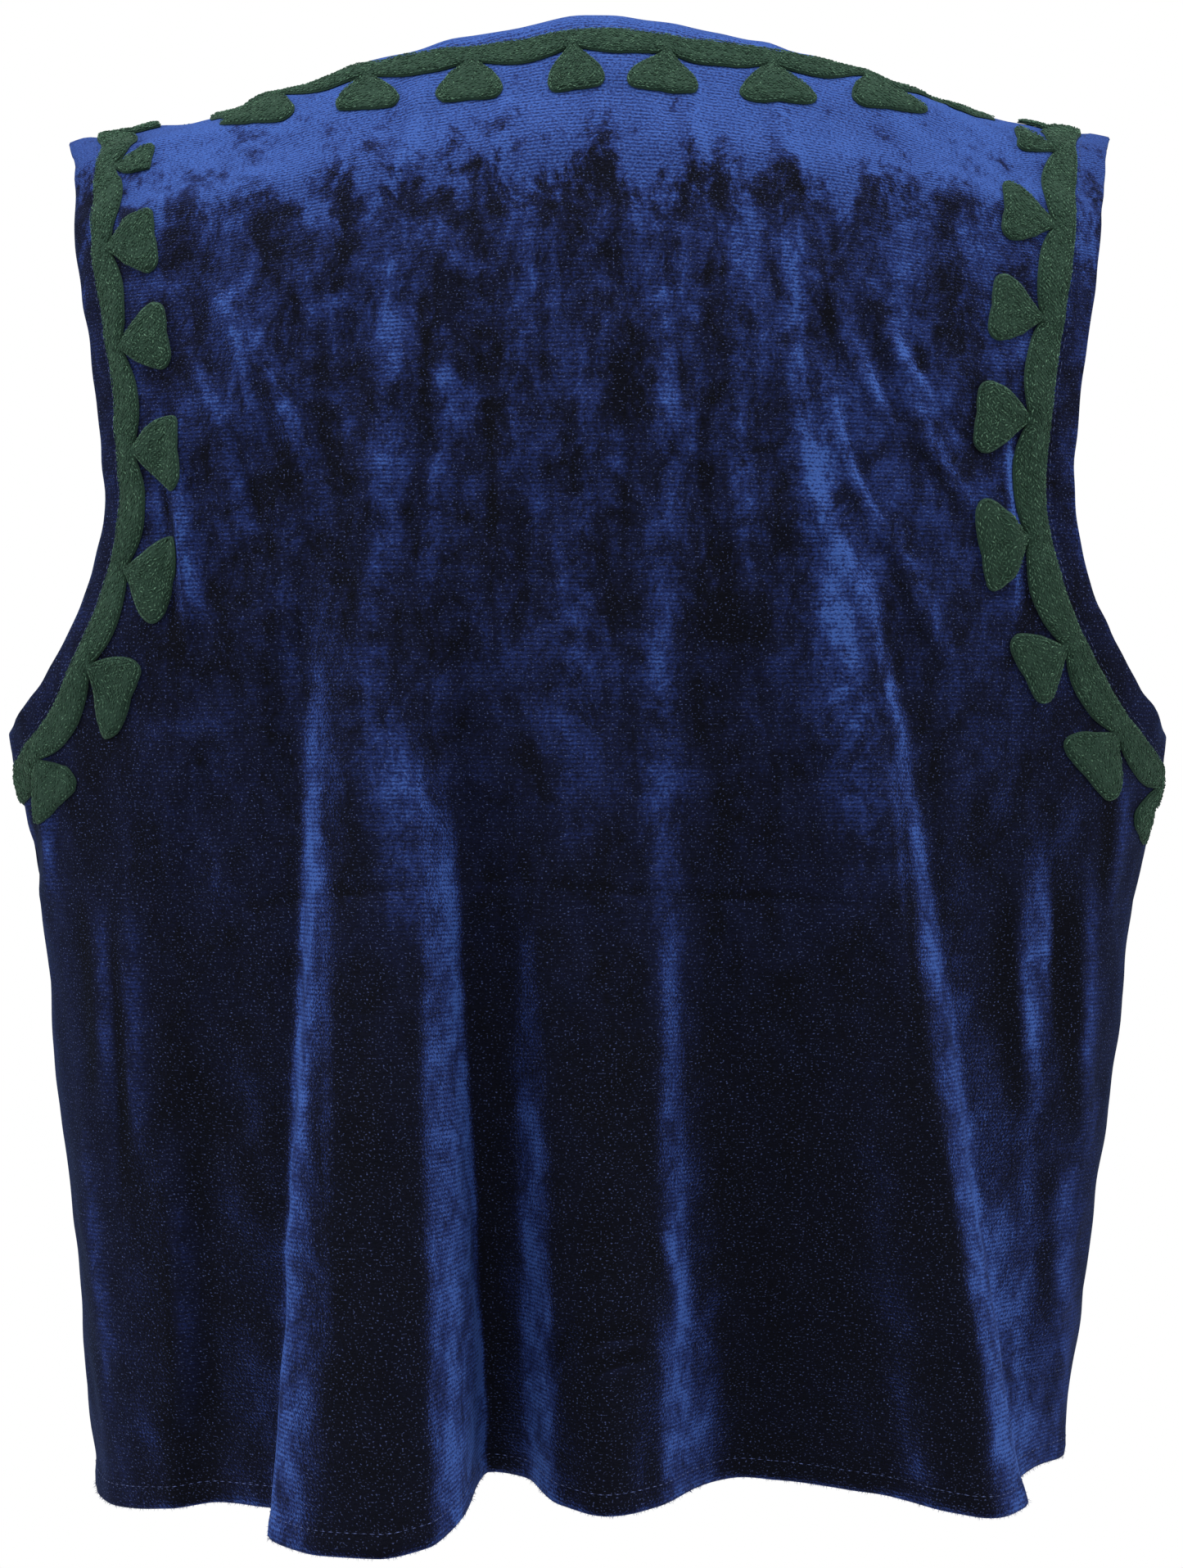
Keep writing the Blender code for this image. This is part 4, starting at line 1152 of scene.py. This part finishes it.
def stitch_bodies(middle, way, side, up, length, width, height):
    """One small pointed body for each stitch, eight faces each."""
    count = len(middle)
    corners = np.stack([
        middle - way * length / 2,
        middle + side * width / 2,
        middle + up * height / 2,
        middle - side * width / 2,
        middle - up * height / 2,
        middle + way * length / 2,
    ], axis=1).reshape(-1, 3)
    ring_faces = np.array([(1, 2), (2, 3), (3, 4), (4, 1)])
    one = [(0, b, a) for a, b in ring_faces] + [(5, a, b) for a, b in ring_faces]
    faces = (np.arange(count)[:, None, None] * 6 + np.array(one)[None]).reshape(-1, 3)
    return corners, faces


def stitched_vine(name, vine, seed, material):
    """The vine: a rounded bed of thread covered all over with the legs of chain stitches."""
    strip, start, end, junctions = vine
    rng = np.random.default_rng(seed + STITCH_SEED)
    loop = vine_outline(start, end, junctions, seed)
    if loop_area(loop) < 0:
        loop = loop[::-1]
    bed = hex_points(loop, VINE_STEP, VINE_STEP * VINE_ROW_SHARE, seed, VINE_JITTER)
    gap, _ = nearest(bed, loop)
    bed = bed[gap > VINE_STEP / 2]
    flat, tris = triangles_in(loop, bed)
    gap, _ = nearest(flat, loop)
    gap[:len(loop)] = 0.0
    at = strip.place(flat)
    if np.sum(np.cross(at[tris[:, 1]] - at[tris[:, 0]], at[tris[:, 2]] - at[tris[:, 0]])) < 0:
        tris = tris[:, ::-1]
    points, faces = layers(at, tris, np.full(len(at), VINE_CLEARANCE), vine_height(gap))

    # a row of stitches along the outline, then the filling, turned to follow it
    ahead = unit(np.roll(loop, -1, axis=0) - np.roll(loop, 1, axis=0))
    inward = np.stack([-ahead[:, 1], ahead[:, 0]], axis=1)
    edge = loop + inward * EDGE_ROW_INSET
    fill = hex_points(loop, LEG_PITCH, ROW_PITCH, seed + 1, LEG_JITTER)
    gap, mark = nearest(fill, loop)
    fill, gap, mark = (table[gap > FILL_INSET] for table in (fill, gap, mark))
    spots = np.concatenate([edge, fill])
    gaps = np.concatenate([np.full(len(edge), EDGE_ROW_INSET), gap])
    ways = np.concatenate([ahead, ahead[mark]])
    turns = np.where(rng.random(len(spots)) < 0.5, -1.0, 1.0) * math.radians(LEG_TURN)
    turns += rng.normal(0, LEG_TURN_SPREAD, len(spots))
    turns[:len(edge)] /= 2
    cos, sin = np.cos(turns), np.sin(turns)
    ways = np.stack([ways[:, 0] * cos - ways[:, 1] * sin, ways[:, 0] * sin + ways[:, 1] * cos], axis=1)
    here = strip.place(spots)
    there = strip.place(spots + ways * LEG_AHEAD)
    up = CLOTH.normal(here)
    way = unit(CLOTH.point(there) - CLOTH.point(here))
    way = unit(way - up * np.sum(way * up, axis=1, keepdims=True))
    side = np.cross(up, way)
    middle = CLOTH.point(here) + up * (vine_height(gaps) + rng.uniform(*LEG_RISE, len(spots)))[:, None]
    bodies, stitch_faces = stitch_bodies(middle, way, side, up, LEG_LENGTH, LEG_WIDTH, LEG_HEIGHT)
    tone = np.clip(rng.normal(*LEG_TONE, len(spots)), LEAST_LEG_TONE, 1.0)
    tone[:len(edge)] += EDGE_ROW_EXTRA
    faces += (stitch_faces + len(points)).tolist()
    piece = new_piece(name, np.concatenate([points, bodies]), faces, [material])
    leg_tones = np.repeat(np.clip(tone, 0.0, 1.0), len(bodies) // len(spots))
    paint(piece, "tone", np.concatenate([np.full(len(points), BED_TONE), leg_tones]))
    return piece


def topstitching(name, lines, material):
    """A dashed row of thread along each line of places on the cloth."""
    middles, ways, ups = [], [], []
    for line in lines:
        solid = CLOTH.point(line)
        length = run_length(solid)
        spots = np.arange(TOPSTITCH_PITCH, length[-1], TOPSTITCH_PITCH)
        at = np.stack([np.interp(spots, length, line[:, i]) for i in (0, 1)], axis=1)
        ahead = np.stack([np.interp(spots + 1, length, line[:, i]) for i in (0, 1)], axis=1)
        middle, up = CLOTH.point(at), CLOTH.normal(at)
        middles.append(middle + up * THREAD_WIDTH * THREAD_SHOWN)
        ways.append(unit(CLOTH.point(ahead) - middle))
        ups.append(up)
    middle, way, up = (np.concatenate(rows) for rows in (middles, ways, ups))
    side = np.cross(up, way)
    points, faces = stitch_bodies(middle, way, side, up, TOPSTITCH_LENGTH, THREAD_WIDTH, THREAD_WIDTH)
    return new_piece(name, points, faces.tolist(), [material])


def pile_fibres(name, line, material):
    """Loose ends of pile along a cut or turned edge."""
    rng = np.random.default_rng(FIBRE_SEED)
    solid = CLOTH.point(line)
    length = run_length(solid)
    spots = np.sort(rng.uniform(0, length[-1], FIBRES))
    at = np.stack([np.interp(spots, length, line[:, i]) for i in (0, 1)], axis=1)
    up = CLOTH.normal(at)
    way = unit(FIBRE_FALL * np.array([0.0, 0.0, -1.0]) + rng.normal(size=up.shape) + up * FIBRE_LIFT)
    long = rng.uniform(*FIBRE_LENGTHS, FIBRES)[:, None]
    middle = CLOTH.point(at) - up * rng.uniform(0, WALL, FIBRES)[:, None] + way * long * FIBRE_SHOWN
    side = unit(np.cross(way, up))
    points, faces = stitch_bodies(middle, way, side, np.cross(side, way), long, FIBRE_WIDTH, FIBRE_WIDTH)
    return new_piece(name, points, faces.tolist(), [material])


def linear(hex_colour):
    """An sRGB hex colour as linear values."""
    parts = [int(hex_colour[i:i + 2], 16) / 255 for i in (1, 3, 5)]
    return [c / 12.92 if c <= 0.04045 else ((c + 0.055) / 1.055) ** 2.4 for c in parts] + [1.0]


def node(tree, kind, inputs=(), **settings):
    """Add one node with its settings; an input is a value or another node's output."""
    new = tree.nodes.new(kind)
    for key, value in settings.items():
        setattr(new, key, value)
    for key, value in dict(inputs).items():
        if isinstance(value, bpy.types.NodeSocket):
            tree.links.new(value, new.inputs[key])
        else:
            new.inputs[key].default_value = value
    return new


def ramp_stops(ramp, stops):
    """Set the stops of a colour ramp: (place, hex colour)."""
    elements = ramp.color_ramp.elements
    while len(elements) > len(stops):
        elements.remove(elements[-1])
    while len(elements) < len(stops):
        elements.new(1.0)
    for element, (place, colour) in zip(elements, stops):
        element.position = place
        element.color = linear(colour)
    return ramp.outputs["Color"]


def per_metre(size):
    """How many times a pattern of this size in millimetres goes into a metre, each way."""
    return [1 / (length * MM) for length in size]


def bands_scale(spacing):
    """Scale of a wave texture whose bands are this far apart, in the units of its map."""
    return 1 / (BANDS_PER_SCALE * spacing)


def new_material(name):
    """An empty material and its node tree."""
    material = bpy.data.materials.new(name)
    material.use_nodes = True
    tree = material.node_tree
    tree.nodes.clear()
    return material, tree


def velvet_material():
    """Polyester stretch velvet: a knitted ground with a short cut pile, crushed in storage.

    The flat parts are near black, and a blue sheen is painted into the colour where the cloth turns away from
    the eye, with painted light on the yoke and beside the creases and painted shade towards the side seams.
    """
    material, tree = new_material("navy_stretch_velvet")
    place = node(tree, "ShaderNodeTexCoord")
    measure = node(tree, "ShaderNodeUVMap", uv_map="cloth")
    height = node(tree, "ShaderNodeSeparateXYZ", {"Vector": place.outputs["Object"]})

    # upright streaks and small clouds of crushed pile
    tall = node(tree, "ShaderNodeMapping", {
        "Vector": place.outputs["Object"], "Scale": per_metre(STREAK_SIZE)})
    streaks = node(tree, "ShaderNodeTexNoise", {
        "Vector": tall.outputs["Vector"], "Scale": 1.0, "Detail": 6.0, "Roughness": 0.65, "Distortion": 0.5})
    small = node(tree, "ShaderNodeMapping", {
        "Vector": place.outputs["Object"], "Scale": per_metre(CLOUD_SIZE)})
    clouds = node(tree, "ShaderNodeTexNoise", {
        "Vector": small.outputs["Vector"], "Scale": 1.0, "Detail": 9.0, "Roughness": 0.78, "Distortion": 0.3})

    # ends of the pile, stretched a little across the cloth
    fine = node(tree, "ShaderNodeMapping", {"Vector": measure.outputs["UV"], "Scale": PILE_ENDS_PER_MM})
    pile = node(tree, "ShaderNodeTexNoise", {"Vector": fine.outputs["Vector"], "Scale": 1.0, "Detail": 2.0})
    rows = node(tree, "ShaderNodeTexWave", {
        "Vector": measure.outputs["UV"], "Scale": bands_scale(KNIT_ROW), "Distortion": 1.6,
        "Detail": 2.0, "Detail Scale": 1.5}, bands_direction="Y")
    ribs = node(tree, "ShaderNodeBump", {
        "Height": rows.outputs["Fac"], "Distance": KNIT_RELIEF * MM, "Strength": 0.2})
    nap = node(tree, "ShaderNodeBump", {
        "Height": pile.outputs["Fac"], "Distance": PILE_RELIEF * MM, "Strength": 0.5,
        "Normal": ribs.outputs["Normal"]})

    # painted sheen: the colour is lifted towards bright blue where the cloth turns away from the eye
    turned = node(tree, "ShaderNodeLayerWeight", {"Blend": 0.5, "Normal": nap.outputs["Normal"]})
    painted_flank_sheen = node(tree, "ShaderNodeMapRange", {
        "Value": turned.outputs["Facing"], "From Min": 0.1, "From Max": 0.5,
        "To Min": 0.0, "To Max": 1.0}, interpolation_type="SMOOTHSTEP")
    # painted shade: the colour is held darker towards the side seams
    left_side_shade = node(tree, "ShaderNodeMapRange", {
        "Value": height.outputs["X"], "From Min": 0.165, "From Max": 0.2,
        "To Min": 1.0, "To Max": 0.22}, interpolation_type="SMOOTHSTEP")
    right_side_shade = node(tree, "ShaderNodeMapRange", {
        "Value": height.outputs["X"], "From Min": -0.218, "From Max": -0.172,
        "To Min": 0.22, "To Max": 1.0}, interpolation_type="SMOOTHSTEP")
    # sides is the painted shade of both side seams, a factor that darkens the painted sheen and the patches
    sides = node(tree, "ShaderNodeMath", {
        0: left_side_shade.outputs["Result"], 1: right_side_shade.outputs["Result"]}, operation="MULTIPLY")
    broken = node(tree, "ShaderNodeMapRange", {
        "Value": clouds.outputs["Fac"], "From Min": 0.38, "From Max": 0.62, "To Min": 0.3, "To Max": 1.0})
    patchy = node(tree, "ShaderNodeMath", {
        0: painted_flank_sheen.outputs["Result"], 1: broken.outputs["Result"]}, operation="MULTIPLY")
    # painted sheen on the flanks, broken into patches and held down by the painted shade at the sides
    painted_sheen = node(tree, "ShaderNodeMath", {
        0: patchy.outputs["Value"], 1: sides.outputs["Value"]}, operation="MULTIPLY")

    # patches of crushed pile, shown stronger towards the top as painted light from above, fading out towards
    # the waist
    high = node(tree, "ShaderNodeMapRange", {
        "Value": height.outputs["Z"], "From Min": -0.46, "From Max": -0.05,
        "To Min": 0.04, "To Max": 0.76}, interpolation_type="SMOOTHSTEP")
    mixed = node(tree, "ShaderNodeMix", {
        "Factor": 0.66, "A": streaks.outputs["Fac"], "B": clouds.outputs["Fac"]}, data_type="FLOAT")
    crushed = node(tree, "ShaderNodeMapRange", {
        "Value": mixed.outputs["Result"], "From Min": 0.43, "From Max": 0.62, "To Min": 0.02, "To Max": 1.0})
    spread = node(tree, "ShaderNodeMath", {
        0: crushed.outputs["Result"], 1: high.outputs["Result"]}, operation="MULTIPLY")
    # the patches are darkened by the painted shade towards the side seams
    patches = node(tree, "ShaderNodeMath", {
        0: spread.outputs["Value"], 1: sides.outputs["Value"]}, operation="MULTIPLY")
    # painted light from above: the yoke is painted lighter all over, down to a ragged limit
    ragged = node(tree, "ShaderNodeMath", {
        0: mixed.outputs["Result"], 1: 0.4, 2: height.outputs["Z"]}, operation="MULTIPLY_ADD")
    painted_top_light = node(tree, "ShaderNodeMapRange", {
        "Value": ragged.outputs["Value"], "From Min": 0.118, "From Max": 0.165,
        "To Min": 0.0, "To Max": 0.68}, interpolation_type="SMOOTHSTEP")
    patches_and_top_light = node(tree, "ShaderNodeMath", {
        0: patches.outputs["Value"], 1: painted_top_light.outputs["Result"]}, operation="MAXIMUM")
    # flat mixes the painted flank sheen over the patches and the painted top light
    flat = node(tree, "ShaderNodeMix", {
        "Factor": painted_sheen.outputs["Value"], "A": patches_and_top_light.outputs["Value"], "B": 1.0}, data_type="FLOAT")

    # the painted light and shade of the creases and the painted sheen streaks are added, and its grain breaks
    # everything up
    crease_light = node(tree, "ShaderNodeAttribute", attribute_name="painted_crease_and_streak_light")
    crease_share = node(tree, "ShaderNodeMath", {0: broken.outputs["Result"], 1: 0.56}, operation="MULTIPLY")
    painted_light_and_patches = node(tree, "ShaderNodeMath", {
        0: crease_light.outputs["Fac"], 1: crease_share.outputs["Value"], 2: flat.outputs["Result"]},
        operation="MULTIPLY_ADD", use_clamp=True)
    grain = node(tree, "ShaderNodeMath", {
        0: rows.outputs["Fac"], 1: 0.2, 2: pile.outputs["Fac"]}, operation="MULTIPLY_ADD")
    uneven = node(tree, "ShaderNodeMapRange", {
        "Value": grain.outputs["Value"], "From Min": 0.36, "From Max": 0.84, "To Min": 0.5, "To Max": 1.45})
    lit = node(tree, "ShaderNodeMath", {
        0: painted_light_and_patches.outputs["Value"], 1: uneven.outputs["Result"]}, operation="MULTIPLY")
    tone = ramp_stops(node(tree, "ShaderNodeValToRGB", {"Fac": lit.outputs["Value"]}), VELVET_TONES)
    # painted glints: single ends of pile that catch the light
    glint_noise = node(tree, "ShaderNodeTexNoise", {"Vector": fine.outputs["Vector"], "Scale": 1.3, "Detail": 0.0})
    painted_glints = node(tree, "ShaderNodeMapRange", {
        "Value": glint_noise.outputs["Fac"], "From Min": 0.67, "From Max": 0.82, "To Min": 0.0, "To Max": 0.4})
    colour = node(tree, "ShaderNodeMix", {
        "Factor": painted_glints.outputs["Result"], "A": tone, "B": linear(PILE_GLINT)}, data_type="RGBA")
    shader = node(tree, "ShaderNodeBsdfPrincipled", {
        "Base Color": colour.outputs["Result"], "Roughness": 0.8, "IOR": 1.45, "Specular IOR Level": 0.03,
        "Sheen Weight": 0.18, "Sheen Roughness": 0.3, "Sheen Tint": linear(PILE_SHEEN),
        "Normal": nap.outputs["Normal"]})
    node(tree, "ShaderNodeOutputMaterial", {"Surface": shader.outputs["BSDF"]})
    return material


def wrong_side_material():
    """The knitted wrong side of the velvet: matt jersey without pile."""
    material, tree = new_material("navy_jersey_wrong_side")
    measure = node(tree, "ShaderNodeUVMap", uv_map="cloth")
    wales = node(tree, "ShaderNodeTexWave", {
        "Vector": measure.outputs["UV"], "Scale": bands_scale(WALE), "Distortion": 0.8})
    uneven = node(tree, "ShaderNodeTexNoise", {
        "Vector": measure.outputs["UV"], "Scale": 1 / WRONG_SIDE_CLOUD, "Detail": 4.0})
    tone = ramp_stops(node(tree, "ShaderNodeValToRGB", {"Fac": uneven.outputs["Fac"]}), WRONG_SIDE_TONES)
    relief = node(tree, "ShaderNodeBump", {
        "Height": wales.outputs["Fac"], "Distance": KNIT_RELIEF * MM, "Strength": 0.4})
    shader = node(tree, "ShaderNodeBsdfPrincipled", {
        "Base Color": tone, "Roughness": 0.85, "IOR": 1.5, "Specular IOR Level": 0.25,
        "Normal": relief.outputs["Normal"]})
    node(tree, "ShaderNodeOutputMaterial", {"Surface": shader.outputs["BSDF"]})
    return material


def chain_thread_material():
    """Matt green spun thread, worked in chain stitch: each leg catches light by itself."""
    material, tree = new_material("green_chain_stitch")
    own = node(tree, "ShaderNodeAttribute", attribute_name="tone")
    tone = ramp_stops(node(tree, "ShaderNodeValToRGB", {"Fac": own.outputs["Fac"]}), CHAIN_TONES)
    place = node(tree, "ShaderNodeTexCoord")
    fibres = node(tree, "ShaderNodeTexNoise", {
        "Vector": place.outputs["Object"], "Scale": 1 / (THREAD_FIBRE * MM), "Detail": 2.0})
    relief = node(tree, "ShaderNodeBump", {
        "Height": fibres.outputs["Fac"], "Distance": THREAD_RELIEF * MM, "Strength": 0.5})
    shader = node(tree, "ShaderNodeBsdfPrincipled", {
        "Base Color": tone, "Roughness": 0.9, "IOR": 1.45, "Specular IOR Level": 0.15,
        "Sheen Weight": 0.12, "Sheen Roughness": 0.5, "Sheen Tint": linear(CHAIN_SHEEN),
        "Normal": relief.outputs["Normal"]})
    node(tree, "ShaderNodeOutputMaterial", {"Surface": shader.outputs["BSDF"]})
    return material


def thread_material():
    """Spun polyester sewing thread, a shade lighter than the velvet."""
    material, tree = new_material("blue_sewing_thread")
    place = node(tree, "ShaderNodeTexCoord")
    ply = node(tree, "ShaderNodeTexNoise", {
        "Vector": place.outputs["Object"], "Scale": 1 / (THREAD_PLY * MM), "Detail": 2.0})
    tone = ramp_stops(node(tree, "ShaderNodeValToRGB", {"Fac": ply.outputs["Fac"]}), SEWING_TONES)
    shader = node(tree, "ShaderNodeBsdfPrincipled", {
        "Base Color": tone, "Roughness": 0.55, "IOR": 1.5, "Specular IOR Level": 0.4})
    node(tree, "ShaderNodeOutputMaterial", {"Surface": shader.outputs["BSDF"]})
    return material


def floor_material():
    """Matt pale paper, almost even."""
    material, tree = new_material("pale_floor")
    place = node(tree, "ShaderNodeTexCoord")
    cloud = node(tree, "ShaderNodeTexNoise", {"Vector": place.outputs["Object"], "Scale": 0.5})
    tone = ramp_stops(node(tree, "ShaderNodeValToRGB", {"Fac": cloud.outputs["Fac"]}), FLOOR_TONES)
    shader = node(tree, "ShaderNodeBsdfPrincipled", {"Base Color": tone, "Roughness": 0.9})
    node(tree, "ShaderNodeOutputMaterial", {"Surface": shader.outputs["BSDF"]})
    return material


# Camera, light and floor, in metres
CAMERA_DISTANCE = 1.6
VIEW_HEIGHT = 0.67025
VIEW_CENTRE = (-0.0009, -0.2926)
SENSOR = 24.0
FLOOR_DROP = 0.35
FLOOR_RADIUS = 1.25
FLOOR_SIDES = 96
ROOM_LIGHT = 0.3
LAMP_AIM = (0.0, 0.0, -0.25)
LAMPS = (
    # (name, place, size, watts)
    ("top_light", (0.1, 0.55, 1.5), 1.2, 45.0),
    ("side_light_left", (1.9, 0.5, 0.2), 1.0, 26.0),
    ("side_light_right", (-1.9, 0.5, 0.2), 1.0, 26.0),
    ("fill_light", (0.5, 2.4, 0.8), 1.4, 12.0),
)


def studio():
    """Camera at the photo's angle, white room, soft lamps and a pale floor."""
    scene = bpy.context.scene
    scene.view_settings.view_transform = "Standard"
    data = bpy.data.cameras.new("camera")
    data.sensor_fit = "VERTICAL"
    data.sensor_height = SENSOR
    data.lens = SENSOR * CAMERA_DISTANCE / VIEW_HEIGHT
    camera = bpy.data.objects.new("camera", data)
    camera.location = (VIEW_CENTRE[0], CAMERA_DISTANCE, VIEW_CENTRE[1])
    camera.rotation_euler = (math.pi / 2, 0, math.pi)
    scene.collection.objects.link(camera)
    scene.camera = camera

    world = bpy.data.worlds.new("studio")
    world.use_nodes = True
    tree = world.node_tree
    tree.nodes.clear()
    seen = node(tree, "ShaderNodeLightPath")
    strength = node(tree, "ShaderNodeMapRange", {
        "Value": seen.outputs["Is Camera Ray"], "To Min": ROOM_LIGHT, "To Max": 1.0})
    white = node(tree, "ShaderNodeBackground", {
        "Strength": strength.outputs["Result"], "Color": (1, 1, 1, 1)})
    node(tree, "ShaderNodeOutputWorld", {"Surface": white.outputs["Background"]})
    scene.world = world
    for name, place, size, power in LAMPS:
        lamp = bpy.data.lights.new(name, "AREA")
        lamp.size = size
        lamp.energy = power
        light = bpy.data.objects.new(name, lamp)
        light.location = place
        aim = Vector(LAMP_AIM) - Vector(place)
        light.rotation_euler = aim.to_track_quat("-Z", "Y").to_euler()
        scene.collection.objects.link(light)

    floor_z = SOLID_BOX[0][2] - FLOOR_DROP
    turns = np.linspace(0, 2 * math.pi, FLOOR_SIDES + 1)[:-1]
    rim = [(FLOOR_RADIUS * math.cos(t), FLOOR_RADIUS * math.sin(t), floor_z) for t in turns]
    mesh = bpy.data.meshes.new("floor")
    mesh.from_pydata(rim, [], [tuple(range(FLOOR_SIDES))])
    mesh.materials.append(floor_material())
    floor = bpy.data.objects.new("floor", mesh)
    scene.collection.objects.link(floor)


def edge_line(strip_line, inward, distance):
    """Places on the cloth a set distance in from an edge."""
    strip = EdgeStrip(strip_line, inward)
    spots = np.arange(0, strip.length[-1], STRIP_STEP)
    return strip.place(np.stack([spots, np.full(len(spots), distance)], axis=1))


def level_line(low, high, u, count):
    """Places on the cloth along a line level with the hem."""
    return np.stack([np.linspace(low, high, count), np.full(count, u)], axis=1)


def main():
    """Sew the vest, attach its pieces to the root body and hide the model parts they stand for."""
    studio()
    velvet = velvet_material()
    wrong_side = wrong_side_material()
    chain = chain_thread_material()
    thread = thread_material()

    cloth = [velvet, wrong_side]
    back = velvet_panel("velvet_back", back_outline(), BACK_CREASES, 0.0, RIDGE_U, cloth)
    left_shape = front_outline()
    left = velvet_panel("velvet_front_left", left_shape, FRONT_CREASES, RIDGE_U, END_U, cloth)
    right = velvet_panel("velvet_front_right", flip(left_shape), FRONT_CREASES, RIDGE_U, END_U, cloth)
    left_run, neck_run, right_run = neck_vines()
    neck = stitched_vine("neck_vine", neck_run, 1, chain)
    edge_left = stitched_vine("edge_vine_left", left_run, 4, chain)
    edge_right = stitched_vine("edge_vine_right", right_run, 5, chain)
    armhole_left = stitched_vine("armhole_vine_left", armhole_vine(ARMHOLE, -1), 2, chain)
    armhole_right = stitched_vine("armhole_vine_right", armhole_vine(flip(ARMHOLE), 1), 3, chain)

    hem_back = level_line(-SEAM_ANGLE, SEAM_ANGLE, HEM_TURNING, HEM_THREAD_POINTS)
    front_start = left_shape[0][0] + FRONT_STITCH_START
    hem_front = level_line(front_start, SEAM_ANGLE, END_U - HEM_TURNING, FRONT_THREAD_POINTS)
    mirror = np.array([-1.0, 1.0])
    hem_thread = topstitching("hem_topstitching", [hem_back, hem_front, hem_front * mirror], thread)
    edges = [edge_line(NECK, -1, EDGE_TURNING), edge_line(ARMHOLE, -1, EDGE_TURNING),
             edge_line(flip(ARMHOLE), 1, EDGE_TURNING)]
    edge_thread = topstitching("edge_topstitching", edges, thread)
    cut_edge = level_line(-SEAM_ANGLE, SEAM_ANGLE, 0.0, HEM_THREAD_POINTS)
    fibres = pile_fibres("hem_pile", cut_edge, thread)

    pieces = {
        back: ("back_panel",),
        left: ("front_left",),
        right: ("front_right",),
        neck: ("neck_border_back",),
        edge_left: ("edge_border_left",),
        edge_right: ("edge_border_right",),
        armhole_left: ("armhole_border_back_left", "armhole_border_front_left"),
        armhole_right: ("armhole_border_back_right", "armhole_border_front_right"),
        hem_thread: (),
        edge_thread: (),
        fibres: (),
    }
    for piece, nodes in pieces.items():
        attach(piece, "root")
        if nodes:
            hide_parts(*nodes)


main()
